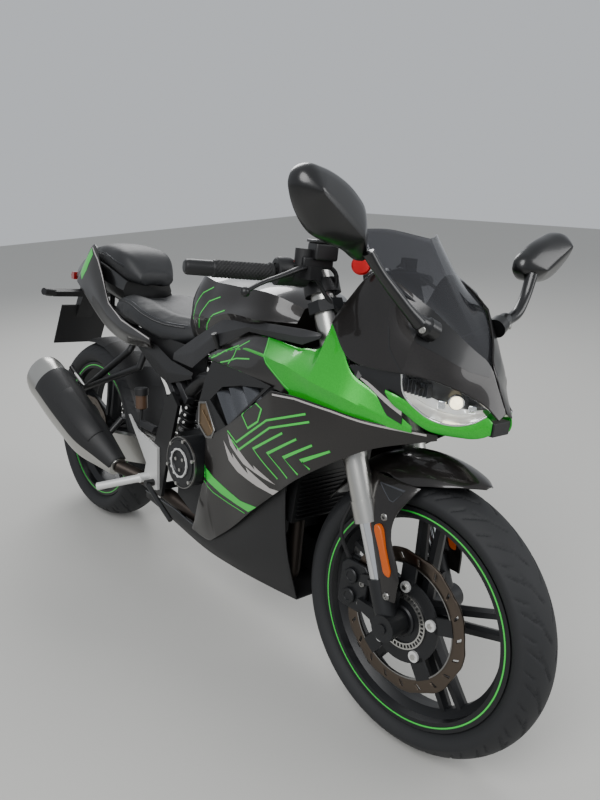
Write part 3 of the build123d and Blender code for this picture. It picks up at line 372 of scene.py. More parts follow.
# %% [markdown]
# Every finish starts from what the real thing is made of. Paint and clear coat, moulded plastic, cast and
# anodised aluminium, steel, rubber, leather-like vinyl and lamp plastics are all one Principled shader with
# different numbers. Colours are given as sRGB hex values, the way a paint card gives them, and turned
# to linear light by one function. A grain size in millimetres sets the scale of each fine bump.

# %% Colours and materials
def rgb(hex_value):
    parts = [int(hex_value[i:i + 2], 16) / 255 for i in (0, 2, 4)]
    return (*[c / 12.92 if c <= 0.04045 else ((c + 0.055) / 1.055) ** 2.4 for c in parts], 1)


def node(tree, kind, links=None, settings=None, **values):
    """Adds a node, sets its properties and socket values, and links sockets into it."""
    made = tree.nodes.new(kind)
    for key, value in (settings or {}).items():
        setattr(made, key, value)
    for key, value in values.items():
        made.inputs[key.replace("_", " ")].default_value = value
    for key, socket in (links or {}).items():
        tree.links.new(socket, made.inputs[key])
    return made


def finish(name, base, rough, metal=0.0, grain=0.0, depth=0.0, flake="", flake_mm=1.2, **more):
    """A Principled material, with a bump of one grain size and flecks of a second colour if asked."""
    mat = bpy.data.materials.new(name)
    mat.use_nodes = True
    tree = mat.node_tree
    shader = tree.nodes["Principled BSDF"]
    for key, value in {"Base Color": rgb(base), "Roughness": rough, "Metallic": metal, **more}.items():
        shader.inputs[key].default_value = value
    if grain or flake:
        where = node(tree, "ShaderNodeTexCoord").outputs["Object"]
    if grain:
        noise = node(tree, "ShaderNodeTexNoise", {"Vector": where}, Scale=1000 / grain, Detail=3.0)
        bump = node(tree, "ShaderNodeBump", {"Height": noise.outputs[0]}, Strength=depth, Distance=0.0004)
        tree.links.new(bump.outputs[0], shader.inputs["Normal"])
    if flake:
        cells = node(tree, "ShaderNodeTexVoronoi", {"Vector": where}, Scale=1000 / flake_mm)
        mix = node(tree, "ShaderNodeMix", {"Factor": cells.outputs["Color"]}, {"data_type": "RGBA"})
        mix.inputs[6].default_value, mix.inputs[7].default_value = rgb(base), rgb(flake)
        tree.links.new(mix.outputs[2], shader.inputs["Base Color"])
    return mat


COAT = {"Coat Weight": 0.6, "Coat Roughness": 0.03, "Specular IOR Level": 0.35}
# Two-layer metallic paint: dark flakes under a clear coat, brown-black in the sun
DARK_PAINT = finish("metallic dark paint", "121111", 0.3, 0.3, flake="231f1d", flake_mm=0.9, **COAT)
GREY_PAINT = finish("metallic grey paint", "34363a", 0.36, 0.5, flake="4b4d52", flake_mm=0.9, **COAT)
GREEN_PAINT = finish("metallic green paint", "0c9a18", 0.34, 0.3, flake="1fb82a", flake_mm=0.9, **COAT)
GREEN_FILM = finish("green vinyl film", "2fc440", 0.4, 0.0, **COAT)
SILVER_FILM = finish("silver vinyl film", "b9b4b2", 0.38, 0.4, **COAT)
GLOSS_BLACK = finish("gloss black ABS", "0b0b0c", 0.3, **{"Coat Weight": 0.25, "Coat Roughness": 0.1})
MATT_BLACK = finish("moulded black polypropylene", "151516", 0.55, grain=0.8, depth=0.35)
DARK_GREY = finish("textured grey ABS", "222224", 0.5, grain=0.7, depth=0.3)
SATIN_BLACK = finish("powder-coated steel", "101011", 0.42, grain=1.5, depth=0.15)
CAST_BLACK = finish("painted cast aluminium", "17181a", 0.45, 0.2, grain=1.2, depth=0.25)
SILVER = finish("anodised aluminium", "b9b8b4", 0.32, 1.0, grain=0.6, depth=0.08)
CAST_SILVER = finish("cast aluminium", "d4d4d2", 0.45, 0.4, grain=1.0, depth=0.25)
CHROME = finish("hard chrome", "d9dadb", 0.09, 1.0)
STEEL = finish("zinc-plated steel", "8d8c8a", 0.35, 1.0)
DISC_STEEL = finish("heat-tinted brake steel", "5c534b", 0.3, 1.0, grain=0.8, depth=0.1)
PIPE_STEEL = finish("heat-darkened steel", "37312d", 0.45, 0.8)
TYRE_RUBBER = finish("tyre rubber", "1b1c1e", 0.72, grain=0.9, depth=0.25)
GRIP_RUBBER = finish("soft rubber", "121213", 0.7)
VINYL = finish("grained vinyl", "1d1e20", 0.55, grain=1.6, depth=0.55)
VINYL_DARK = finish("smooth vinyl", "111113", 0.5, grain=1.2, depth=0.35)
SMOKE = finish("smoked polycarbonate", "6c6d72", 0.03, **{"Transmission Weight": 0.88, "IOR": 1.3})
CLEAR = finish("clear polycarbonate", "f4f6f8", 0.02, **{"Transmission Weight": 1.0, "IOR": 1.25})
# Amber acrylic with a faint emission: a painted glow, though reflectors and unlit indicators are no lamps
AMBER_PAINTED_GLOW = finish("amber acrylic with a painted glow", "ae4c00", 0.4, **{"Emission Color": rgb("ff6a00"), "Emission Strength": 0.06})
RED_LENS = finish("red acrylic", "8c0a0a", 0.12, **{"Coat Weight": 1.0})
RED_TAG = finish("red anodised aluminium", "c2151a", 0.3, 0.5)
LED = finish("warm LED lens", "fff6da", 0.3, **{"Emission Color": rgb("fff0c8"), "Emission Strength": 3.0})
REFLECTOR = finish("vacuum-metallised plastic", "e2e3e4", 0.12, 1.0)
# A reflector whose emission is a painted glow, standing in for the lamp's light on it
REFLECTOR_PAINTED_GLOW = finish("reflector with a painted glow", "f2f2ee", 0.2, 0.6,
                       **{"Emission Color": rgb("fffaf0"), "Emission Strength": 0.35})
MIRROR = finish("silvered glass", "c9cccf", 0.03, 1.0)
BRONZE = finish("bronze anodised duct", "6f5c44", 0.4, 0.6)
BLANK = finish("bare number plate", "d9dbd8", 0.45)
TANK_PLASTIC = finish("translucent nylon", "5a4332", 0.35, **{"Transmission Weight": 0.25})


def dress(names, material):
    """Gives CAD nodes their finish."""
    for name in names.split():
        NODES[name].data.materials.clear()
        NODES[name].data.materials.append(material)


dress("fork_outer_tubes swingarm", SILVER)
dress("peg_hangers", CAST_SILVER)
dress("fork_inner_tubes", CHROME)
dress("fork_feet front_rim rear_rim lower_clamp upper_clamp engine engine_covers", CAST_BLACK)
dress("handlebar_stubs levers frame rear_frame fairing_stay radiator", SATIN_BLACK)
dress("side_stand foot_controls passenger_pegs", SATIN_BLACK)
dress("switch_blocks hugger belly_pan plate_holder instruments side_intakes", MATT_BLACK)
dress("rear_disc", DISC_STEEL)
dress("rear_sprocket drive_sprocket rear_shock drive_chain filler_cap", STEEL)
dress("exhaust_pipe", PIPE_STEEL)
dress("reflectors", AMBER_PAINTED_GLOW)
dress("tail_light", RED_LENS)
dress("reservoir", TANK_PLASTIC)
dress("grips", GRIP_RUBBER)
print(len(bpy.data.materials), "finishes")

# %% [markdown]
# A sport tyre is a smooth round carcass with thin sweeping grooves moulded into it. Here the section is an
# arc from bead to bead, and the grooves are a drop in radius where a point lies near one of the groove
# lines. Doing it in the mesh keeps the grooves real at the edges, which a bump map would not.

# %% Tyres with moulded grooves
def arc(p0, p1, p2, count):
    """Points on the circle through three points, from the first to the last in so many steps."""
    (x0, y0), (x1, y1), (x2, y2) = p0, p1, p2
    d = 2 * (x0 * (y1 - y2) + x1 * (y2 - y0) + x2 * (y0 - y1))
    a, b, c = x0 * x0 + y0 * y0, x1 * x1 + y1 * y1, x2 * x2 + y2 * y2
    cx = (a * (y1 - y2) + b * (y2 - y0) + c * (y0 - y1)) / d
    cy = (a * (x2 - x1) + b * (x0 - x2) + c * (x1 - x0)) / d
    r, t0, t1 = math.hypot(x0 - cx, y0 - cy), math.atan2(y0 - cy, x0 - cx), math.atan2(y2 - cy, x2 - cx)
    if abs(t1 - t0) > math.pi:
        t1 += math.tau if t1 < t0 else -math.tau
    return [(cx + r * math.cos(t), cy + r * math.sin(t)) for t in np.linspace(t0, t1, count + 1)]


def tyre(name, axle, radius, width, rim_half, body, node_name, pitches):
    """A closed tyre with its grooves, which come so many times round it."""
    half, wall = width / 2, radius - RIM_R
    shoulder, bulge = radius - 0.53 * wall, RIM_R + 0.2 * wall
    flange, foot = rim_half - 7.3, rim_half - 19.3
    tread = arc((shoulder, -half), (radius, 0), (shoulder, half), 40)
    left = arc((shoulder, half), (bulge, half - 4), (RIM_R + 1, flange), 7)[1:]
    right = arc((RIM_R + 1, -flange), (bulge, 4 - half), (shoulder, -half), 7)[:-1]
    bead, belt = RIM_R - 13.7, radius - 0.3 * wall
    inside = [(bead, flange), (bead, foot), (belt, half - 18), (radius - 11, 0), (belt, 18 - half),
              (bead, -foot), (bead, -flange)]
    section = right + tread + left + inside
    on_tread = np.zeros(len(section), bool)
    on_tread[len(right):len(right) + len(tread)] = True
    round_steps, deep = 900, 2.6
    r, y = np.array(section).T
    angle = np.arange(round_steps) / round_steps * math.tau
    out_by = np.clip(np.abs(y) / half, 0, 1)[None, :]
    cycle = angle[:, None] / math.tau * pitches + np.where(y > 0, 0.5, 0.0)[None, :]
    drop = np.zeros((round_steps, len(section)))
    # each groove: where it starts and ends across the tread, its place in the pitch, its sweep, its width
    for start, end, at, sweep, broad in ((0.06, 0.62, 0.10, 0.95, 0.060), (0.34, 0.92, 0.58, 0.55, 0.055),
                                         (0.66, 0.95, 0.22, 0.30, 0.045)):
        share = np.clip((out_by - start) / (end - start), 0, 1)
        off = np.abs((cycle - at - sweep * share ** 1.35 + 0.5) % 1 - 0.5)
        ends = np.clip(np.minimum(share, 1 - share) * 9, 0, 1)
        drop = np.maximum(drop, np.clip((broad - off) / 0.016, 0, 1) * ends * on_tread)
    radii = r[None, :] - deep * drop
    points = np.stack([axle[0] + radii * np.cos(angle)[:, None], np.broadcast_to(y, radii.shape),
                       axle[2] + radii * np.sin(angle)[:, None]], axis=-1)
    count = round_steps * len(section)
    faces = [[v % count for v in f] for f in grid_faces(round_steps + 1, len(section), closed=True)]
    ob = outward(piece(name, points.reshape(-1, 3), faces, TYRE_RUBBER, body, 40))
    return stands_for(ob, node_name)


front_tyre = tyre("tread_front", FRONT_AXLE, FRONT_R, 112, 43, "front_wheel", "front_tyre", 26)
rear_tyre = tyre("tread_rear", REAR_AXLE, REAR_R, 150, 56, "rear_wheel", "rear_tyre", 24)
print(len(front_tyre.data.polygons), len(rear_tyre.data.polygons), "tyre faces")

# %% [markdown]
# Small things that repeat round an axle, such as bolts, slots and ribs, are best left to Geometry Nodes: one
# tree puts copies of a small body at equal angles, and their number, radius, first angle and finish are its
# named inputs. The result is turned into a plain mesh, because the export knows nothing of instances.

# %% A node tree that repeats a body round a circle
def new_tree(name, inputs):
    """A tree with a geometry output and named inputs, and the node that hands the inputs out."""
    tree = bpy.data.node_groups.new(name, "GeometryNodeTree")
    tree.interface.new_socket("Geometry", in_out="OUTPUT", socket_type="NodeSocketGeometry")
    for label, kind in inputs.items():
        tree.interface.new_socket(label, in_out="INPUT", socket_type="NodeSocket" + kind)
    return tree, node(tree, "NodeGroupInput")


def end_tree(tree, given, points, body, turn):
    """Puts the body on the points, makes the copies real, gives them their finish and ends the tree."""
    copies = node(tree, "GeometryNodeInstanceOnPoints",
                  {"Points": points, "Instance": body, "Rotation": turn})
    real = node(tree, "GeometryNodeRealizeInstances", {"Geometry": copies.outputs[0]})
    done = node(tree, "GeometryNodeSetMaterial", {"Geometry": real.outputs[0],
                                                  "Material": given.outputs["Finish"]})
    node(tree, "NodeGroupOutput", {"Geometry": done.outputs[0]})
    return tree


def grown(holder, tree, values):
    """The plain mesh that a tree makes on an object; each input is set by its socket's identifier."""
    maker = holder.modifiers.new("copies", "NODES")
    maker.node_group = tree
    for item in tree.interface.items_tree:
        if item.in_out == "INPUT" and item.name in values:
            maker[item.identifier] = values[item.name]
    mesh = baked(holder)
    holder.modifiers.clear()
    return mesh


def ring_tree(name, kind, size):
    """Copies of a six-sided bolt, a round collar or a cube round a circle in the XZ plane; size in metres."""
    tree, given = new_tree(name, {"Count": "Int", "Radius": "Float", "Start": "Float", "Finish": "Material"})
    line = node(tree, "GeometryNodeMeshLine", {"Count": given.outputs["Count"]}, {"mode": "OFFSET"},
                Offset=(0, 0, 0))
    index = node(tree, "GeometryNodeInputIndex")
    share = node(tree, "ShaderNodeMath", {0: index.outputs[0], 1: given.outputs["Count"]},
                 {"operation": "DIVIDE"})
    full = node(tree, "ShaderNodeMath", {0: share.outputs[0]}, {"operation": "MULTIPLY"})
    full.inputs[1].default_value = -math.tau
    angle = node(tree, "ShaderNodeMath", {0: full.outputs[0], 1: given.outputs["Start"]},
                 {"operation": "SUBTRACT"})
    spin = node(tree, "ShaderNodeCombineXYZ", {"Y": angle.outputs[0]})
    if kind == "cube":
        body = node(tree, "GeometryNodeMeshCube", Size=size)
    else:
        corners = 6 if kind == "bolt" else 28
        body = node(tree, "GeometryNodeMeshCylinder", Vertices=corners, Radius=size[0] / 2, Depth=size[2])
    turn = node(tree, "GeometryNodeTransform", {"Geometry": body.outputs[0]}, Rotation=(math.pi / 2, 0, 0))
    reach = node(tree, "ShaderNodeCombineXYZ", {"X": given.outputs["Radius"]})
    out = node(tree, "GeometryNodeTransform", {"Geometry": turn.outputs[0], "Translation": reach.outputs[0]})
    return end_tree(tree, given, line.outputs[0], out.outputs[0], spin.outputs[0])


def ringed(name, tree, axle, y, count, radius, start, material, body="chassis"):
    """One use of a ring tree, about an axle at a distance from the middle plane; start is in degrees."""
    holder = placed(name, bpy.data.meshes.new(name))
    values = {"Count": count, "Radius": radius / 1000, "Start": math.radians(start), "Finish": material}
    holder.data = grown(holder, tree, values)
    places = np.array([v.co for v in holder.data.vertices]) * 1000 + np.asarray(axle) + (0, y, 0)
    for v, p in zip(holder.data.vertices, parked(places, body)):
        v.co = p
    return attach(holder, body)


BOLTS = ring_tree("bolts round an axle", "bolt", (0.011, 0.011, 0.009))
WASHERS = ring_tree("collars under the bolts", "round", (0.023, 0.023, 0.006))
SPIDER = ring_tree("arms of a disc carrier", "cube", (0.042, 0.034, 0.0062))
TEETH = ring_tree("slots of a sensor ring", "cube", (0.0075, 0.003, 0.0028))
print(len(bpy.data.node_groups), "ring trees")

# %% [markdown]
# The front wheel has one brake disc, on its right. The friction ring is steel with a wavy edge and slanting
# slots, and a dark carrier of five arms bolts it to the hub. The ring is a flat grid of rows and columns
# that leaves out the cells of the slots. The caliper is two halves either side of it, a bridge and two caps.

# %% Front brake
def wavy_disc(name, centre, y, inner, outer, waves=10, thick=5):
    """A flat ring with a wavy edge and slanting slots, walled equally to both sides."""
    columns = np.array([0, 0.5, 1.4, 2.9, 4, 5.1, 6.6, 7.5])
    steps = np.concatenate([(k * 8 + columns) / 16 * math.tau / waves for k in range(2 * waves)])
    edge = outer - 1.5 - 1.5 * np.clip(1.8 * np.sin(steps * waves), -1, 1)
    points = []
    for r in [np.full(len(steps), row) for row in (inner, inner + 8, outer - 9)] + [edge]:
        turn = steps + math.radians(3) * np.clip((r - inner - 8) / (outer - inner - 17), 0, 1)
        points += [(centre[0] + a * math.cos(t), y, centre[2] + a * math.sin(t)) for a, t in zip(r, turn)]
    cells = grid_faces(4, len(steps), closed=True)
    faces = [f for k, f in enumerate(cells) if not (k // len(steps) == 1 and k % len(columns) == 3)]
    ob = piece(name, points, faces, DISC_STEEL, "front_wheel")
    wall = ob.modifiers.new("wall", "SOLIDIFY")
    wall.thickness, wall.offset = thick / 1000, 0
    return eased(ob, 0.4, 1, 50)


DISC_AT = FRONT_AXLE + (0, -58, 0)
disc = wavy_disc("disc_front", FRONT_AXLE, -58, 121, 150)
stands_for(disc, "front_discs")
hub = flat_ring("disc_hub_front", DISC_AT, (0, 1, 0), -3.1, 2.5, 33, 88, CAST_BLACK, "front_wheel", 80)
stands_for(hub, "front_discs")
flat_ring("disc_edge_front", DISC_AT, (0, 1, 0), -2.8, 2.8, 119, 121.6, STEEL, "front_wheel", 96)
for name, tree, y, radius, material in (("bolts", BOLTS, -65, 74, SILVER),
                                        ("collars", WASHERS, -63, 74, CAST_SILVER),
                                        ("spider", SPIDER, -58, 101, CAST_BLACK)):
    ringed(f"disc_{name}_front", tree, FRONT_AXLE, y, 5, radius, 18, material, "front_wheel")
CALIPER = [(-165, -30), (-165, 60), (-150, 74), (-100, 74), (-89, 62), (-89, -18), (-104, -34), (-150, -34)]
BRIDGE = [(-165, -30), (-165, 60), (-151, 73), (-151, -34)]
for name, shape, y0, y1 in (("inner", CALIPER, -53, -40), ("outer", CALIPER, -72, -63),
                            ("bridge", BRIDGE, -64, -52)):
    outline = [(WHEELBASE + x, FRONT_R + z) for x, z in shape]
    part = plate(f"caliper_{name}", outline, y0, y1, CAST_BLACK, "steering", 3)
    stands_for(part, "brake_calipers")
for z in (-4, 42):
    cap = lathe(f"caliper_cap_{z + 4}", (WHEELBASE - 132, -70, FRONT_R + z), (0, -1, 0),
                [(0, 17), (8, 17), (10, 15), (10, 10), (8.5, 9)], CAST_BLACK, "steering", 32)
    stands_for(cap, "brake_calipers")
    lathe(f"caliper_bolt_{z + 4}", (WHEELBASE - 101, -71, FRONT_R + z - 6), (0, -1, 0),
          [(0, 7), (5, 7), (6, 6), (6, 3), (3, 2.8)], STEEL, "steering", 24)
print(len(disc.data.polygons), "cells in the disc")

# %% [markdown]
# Each wheel carries small things that catch the eye when it turns: a thin coloured line taped round the rim,
# a slotted ring that the speed sensor reads, and a cap on the hub. All are turned about the axle.

# %% Wheel fittings
for wheel, axle, half, y in (("front", FRONT_AXLE, 43, -63.2), ("rear", REAR_AXLE, 56, -82.2)):
    body = f"{wheel}_wheel"
    for name, inner in ((f"sensor_ring_{wheel}", 57), (f"sensor_ring_inner_{wheel}", 47)):
        flat_ring(name, axle + (0, y, 0), (0, 1, 0), -1.3, 1.3, inner, inner + 3, SILVER, body, 80)
    ringed(f"sensor_teeth_{wheel}", TEETH, axle, y, 40, 53.5, 0, SILVER, body)
    for side, word in SIDES:
        flat_ring(f"rim_line_{wheel}_{word}", axle + (0, side * (half + 0.4), 0), (0, 1, 0), -0.4, 0.4,
                  220.5, 223.5, GREEN_FILM, body, 160)
    lathe(f"hub_cap_{wheel}", axle + (0, -(half + 22), 0), (0, 1, 0),
          [(-2, 12), (-3, 30), (0, 33), (6, 33), (6, 12)], CAST_BLACK, body, 48, close=True)
ringed("disc_bolts_rear", BOLTS, REAR_AXLE, -82, 5, 72, 18, SILVER, "rear_wheel")
print("wheel fittings done")

# %% [markdown]
# The front fender is one thin moulding: a crown over the tyre, a skirt that grows at the fork and
# a bracket down each leg, with a dark window and an amber reflector. Its crown is a grid of arcs round the
# axle, so that it stays an even distance from the tyre, and the bracket is a sheet lofted down the leg.

# %% Front fender and its brackets
# The crown's stations, as (angle, crest over the tyre, half width, drop of the edge)
FENDER = [(146, 18, 44, 10), (130, 30, 60, 26), (118, 42, 67, 34), (108, 48, 69, 38), (97, 49, 76, 60),
          (84, 46, 66, 40), (76, 42, 46, 18), (70.5, 39, 12, 5)]
# The bracket's stations, as (height, rear edge, front edge, distance from the middle inside and outside)
ARM = [(287, -112, 8, 63, 78), (264, -106, -4, 80, 91), (216, -93, -26, 98, 104), (195, -82, -26, 101, 108),
       (110, -44, 12, 108, 115), (59, -24, 14, 110, 116)]
# The reflector's half widths down its middle line, as (height, forward, half width)
WAISTED = [(200, -53, 2), (198, -52, 6), (190, -48, 9), (156, -32, 7.6), (116, -13, 9), (110, -10, 6),
           (107, -6, 2)]


def arched(axle, radius, table, steps, around_steps=24):
    """Rows of arcs over a tyre."""
    rows = []
    for angle, crest, half, drop in through(table, steps):
        top, a = radius + crest, math.radians(angle)
        bulge = (half * half + drop * drop) / (2 * drop)
        turn = math.asin(min(half / bulge, 1))
        if drop >= half:
            turn = math.pi - turn
        row = []
        for share in np.linspace(-1, 1, around_steps + 1):
            r = top - bulge + bulge * math.cos(share * turn)
            row.append((axle[0] + r * math.cos(a), bulge * math.sin(share * turn), axle[2] + r * math.sin(a)))
        rows.append(row)
    return np.array(rows)


fender = shell("fender_crown", arched(FRONT_AXLE, FRONT_R, FENDER, 7), 3, (0, 0, 1), DARK_PAINT, "steering")
stands_for(fender, "front_fender")
for side, word in SIDES:
    rows = []
    for dz, rear, front, _, y1 in through(ARM, 5):
        rows.append([(FRONT_AXLE[0] + rear + (front - rear) * t, side * (y1 - 4.4 * (2 * t - 1) ** 4),
                      FRONT_AXLE[2] + dz)
                     for t in np.linspace(0, 1, 13)])
    bracket = shell(f"fender_bracket_{word}", np.array(rows), 5, (0, side, 0), DARK_PAINT, "steering")
    film(f"bracket_window_{word}", bracket, [(1302, 565), (1360, 566), (1345, 545), (1338, 546)], side,
         GLOSS_BLACK)
    film(f"bracket_line_{word}", bracket, band([(1302, 567), (1362, 568), (1346, 543), (1337, 544),
                                                (1302, 567)], 2), side,
         GREY_PAINT, lift=0.6)
    pill = [(FRONT_AXLE[0] + x + way * r * 0.92, FRONT_AXLE[2] + dz + way * r * 0.4)
            for way, line in ((1, WAISTED), (-1, WAISTED[::-1])) for dz, x, r in line]
    # The reflector's faint glow is painted, from the emission of its amber finish
    lens = plate(f"reflector_{word}", pill, side * 107, side * 119, AMBER_PAINTED_GLOW, "steering", rim=2)
    stands_for(lens, "reflectors")
    for dz, x in ((214, -47), (66, -6)):
        y = side * (103 if dz > 100 else 116)
        lathe(f"fender_bolt_{word}_{dz}", (FRONT_AXLE[0] + x, y, FRONT_AXLE[2] + dz), (0, side, 0),
              [(-2, 8), (1.5, 8), (3, 6.5), (3, 3.4), (1.2, 3.2)], STEEL, "steering", 24)
print("fender done")

# %% [markdown]
# A fuel tank is pressed from sheet in two halves and welded, so its surface is one continuous curve
# with a flat crown and a knee recess. It is a closed body through half outlines, mirrored about the middle
# plane, and the filler on its top is turned on a lathe: a ring with six bolts, and a lid.

# %% Tank and filler cap
TANK = [
    (606, [(0, 866), (24, 866), (60, 856), (90, 812), (98, 772), (84, 736), (50, 720), (0, 718)]),
    (634, [(0, 896), (40, 896), (84, 890), (108, 846), (114, 790), (98, 742), (60, 720), (0, 718)]),
    (735, [(0, 905), (46, 904), (106, 893), (122, 856), (132, 806), (112, 762), (76, 720), (0, 718)]),
    (831, [(0, 909), (48, 907), (112, 894), (124, 862), (142, 832), (122, 800), (76, 738), (0, 736)]),
    (957, [(0, 906), (46, 904), (106, 891), (118, 862), (140, 836), (120, 812), (76, 752), (0, 750)]),
    (1018, [(0, 880), (34, 880), (72, 870), (82, 852), (92, 838), (78, 818), (50, 772), (0, 770)]),
]
tank = solid_body("tank_shell", TANK, DARK_PAINT, steps=(8, 6), folds=(2, 4), sharp=30)
stands_for(tank, "fuel_tank")
lathe("filler_ring", (900, 0, 904), (0, 0, 1), [(0, 44), (5, 44), (8, 41), (10, 33), (10, 25), (7, 24)],
      SATIN_BLACK)
lathe("filler_lid", (900, 0, 904), (0, 0, 1), [(4, 30), (11, 30), (13, 27), (13, 8), (12, 0.5)], SILVER)
for k in range(6):
    a = math.tau * k / 6
    lathe(f"filler_bolt_{k}", (900 + 36.5 * math.cos(a), 36.5 * math.sin(a), 912), (0, 0, 1),
          [(0, 3.6), (2.4, 3.6), (3, 3), (3, 1.7), (1.4, 1.6)], STEEL, sides=16)
print(len(tank.data.polygons), "tank faces")

# %% [markdown]
# Both seats are foam under a vinyl cover. Each is first lofted to its outline, then remeshed evenly and
# swollen a little by cloth pressure, which gives the soft crowned look of upholstery.

# %% Seats, stuffed
RIDER = [
    (204, [(0, 782), (40, 783), (84, 788), (104, 776), (110, 752), (88, 736), (0, 734)]),
    (262, [(0, 784), (40, 785), (88, 797), (116, 780), (122, 744), (96, 724), (0, 722)]),
    (330, [(0, 784), (40, 786), (92, 796), (124, 776), (130, 738), (100, 722), (0, 720)]),
    (400, [(0, 776), (40, 778), (92, 784), (128, 762), (132, 728), (100, 714), (0, 712)]),
    (480, [(0, 768), (40, 769), (84, 771), (116, 750), (122, 718), (90, 706), (0, 704)]),
    (560, [(0, 771), (30, 771), (62, 769), (88, 750), (92, 720), (68, 706), (0, 704)]),
    (605.7, [(0, 782), (24, 782), (48, 776), (64, 756), (66, 730), (48, 716), (0, 714)]),
]
PILLION = [
    (-60, [(0, 917), (28, 915), (52, 909), (64, 896), (56, 884.3), (0, 882)]),
    (100, [(0, 935), (40, 933), (78, 921), (90, 894), (78, 866.3), (0, 864)]),
    (200, [(0, 917), (40, 915), (76, 905), (86, 872), (74, 840.5), (0, 838)]),
    (258, [(0, 864), (28, 863), (48, 856), (58, 842), (48, 826), (0, 824)]),
]


def stuffed(name, table, node_name, swell, most):
    """A foam body: its outline is remeshed evenly and blown up a little by cloth pressure."""
    rough = solid_body(name, table, VINYL, steps=(6, 5), sharp=60)
    rough.parent = None
    bpy.context.view_layer.objects.active = rough
    mesh_grid = rough.modifiers.new("even", "REMESH")
    mesh_grid.mode, mesh_grid.voxel_size, mesh_grid.use_smooth_shade = "VOXEL", 0.006, True
    even = baked(rough)
    rough.modifiers.clear()
    rough.data = even
    start = np.array([v.co for v in even.vertices])
    cloth = rough.modifiers.new("foam", "CLOTH")
    cloth.settings.use_pressure = True
    cloth.settings.uniform_pressure_force = swell
    cloth.settings.effector_weights.gravity = 0
    cloth.point_cache.frame_end = 16
    for frame_number in range(1, 17):
        bpy.context.scene.frame_set(frame_number)
    blown = baked(rough)
    bpy.context.scene.frame_set(1)
    rough.modifiers.clear()
    moved = np.array([v.co for v in blown.vertices]) - start
    length = np.linalg.norm(moved, axis=1)
    share = np.minimum(1, most / 1000 / np.maximum(length, 1e-9))
    for v, p in zip(blown.vertices, start + moved * share[:, None]):
        v.co = p
    rough.data = blown
    blown.materials.clear()
    blown.materials.append(VINYL)
    blown.shade_smooth()
    smooth = rough.modifiers.new("smooth", "SMOOTH")
    smooth.factor, smooth.iterations = 0.5, 3
    rough.data = baked(rough)
    rough.modifiers.clear()
    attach(rough, "chassis")
    stands_for(rough, node_name)
    return rough


rider = stuffed("rider_cushion", RIDER, "rider_seat", 3.0, 5)
pillion = stuffed("pillion_cushion", PILLION, "pillion_seat", 3.0, 4)
print(len(rider.data.polygons), len(pillion.data.polygons), "seat faces")

# %% [markdown]
# Body panels. The CAD solids give their places and clearances; here each panel is a smooth moulded sheet
# through the same stations, folded only where the real panel has a crease. Walls are 3 mm, as injection
# moulded ABS is, and the free edges are eased so that they catch a line of light.

# %% Upper side panels, green ahead of a slanting line and dark behind it
UPPER = [
    (775, [(148, 724), (150, 719), (150, 716), (150, 713)]),
    (911, [(138, 794), (162, 765), (166, 722), (166, 717)]),
    (1096, [(140, 800), (185, 768), (182, 733), (180, 708)]),
    (1160, [(136, 830), (186, 756), (180, 729), (178, 706)]),
    (1172, [(134, 870), (186, 753), (180, 728), (178, 706)]),
    (1220, [(150, 828), (182, 746), (175, 723), (173, 705)]),
    (1258, [(158, 788), (176, 740), (170, 719), (168, 704)]),
    (1300, [(149, 765), (160, 728), (157, 713), (155, 702)]),
    (1342, [(139, 741), (143, 718), (142, 709), (140, 701)]),
    (1388, [(120, 711), (121, 706), (120, 702), (119, 699)]),
]
upper = both_sides("upper_panel", UPPER, 3, GREEN_PAINT, steps=(8, 7), folds=(1,), cuts=(2, 4))
for ob in upper:
    stands_for(ob, "upper_fairings")
UPPER_DARK = [(770, 700), (770, 730), (905, 800), (980, 806), (1026, 755), (1079, 731), (1112, 714),
              (1112, 700)]
UPPER_LINES = [[(790, 719), (815, 730), (850, 748), (900, 770)],
               [(872, 722), (892, 744), (902, 766), (930, 786)],
               [(836, 718), (862, 726), (906, 742), (960, 752)]]
for (side, word), ob in zip(SIDES, upper):
    film(f"upper_dark_{word}", ob, UPPER_DARK, side, DARK_PAINT)
    for k, line in enumerate(UPPER_LINES):
        film(f"upper_line_{word}_{k}", ob, band(line, 3.2), side, GREEN_FILM, lift=0.6)
    film(f"upper_edge_{word}", ob, band([(984, 803), (1026, 759), (1079, 735), (1112, 720)], 3), side,
         GREEN_FILM, 0.6)
print("upper panels done")

# %% [markdown]
# The lower side panels are the largest mouldings, dark and carrying the graphics: a green band, two pale
# jagged shards and nested angles of thin green line. All are films in plain shapes, dropped on the panel.

# %% Lower side panels and their graphics
LOWER = [
    (690, [(108, 236), (111, 229), (110, 222)]),
    (771, [(148, 363), (132, 290), (108, 222)]),
    (800, [(158, 425), (142, 335), (114, 242)]),
    (808, [(168, 526), (156, 400), (116, 248)]),
    (876, [(172, 567), (160, 440), (124, 302)]),
    (985, [(187, 643), (174, 520), (145, 399)]),
    (1078, [(200, 711), (184, 594), (154, 480)]),
    (1145, [(194, 715), (184, 624), (166, 533)]),
    (1235, [(180, 711), (172, 655), (156, 598)]),
    (1300, [(164, 706), (154, 670), (142, 640)]),
    (1420, [(84, 699), (84, 694), (82, 688)]),
]
lower = both_sides("lower_panel", LOWER, 3, DARK_PAINT, steps=(7, 9), cuts=(2, 3, 6))
for ob in lower:
    stands_for(ob, "lower_fairings")
GREEN_BAND = [(795, 456), (841, 434), (900, 416), (941, 406), (999, 411), (966, 386), (923, 389), (867, 397),
              (799, 419)]
SHARDS = [
    [(887, 543), (932, 510), (926, 524), (986, 492), (980, 507), (1052, 479), (1086, 482), (1065, 464),
     (1011, 470), (946, 484), (911, 501)],
    [(905, 566), (950, 534), (946, 546), (1012, 511), (1008, 521), (1072, 494), (1038, 498), (972, 512),
     (918, 540)],
]
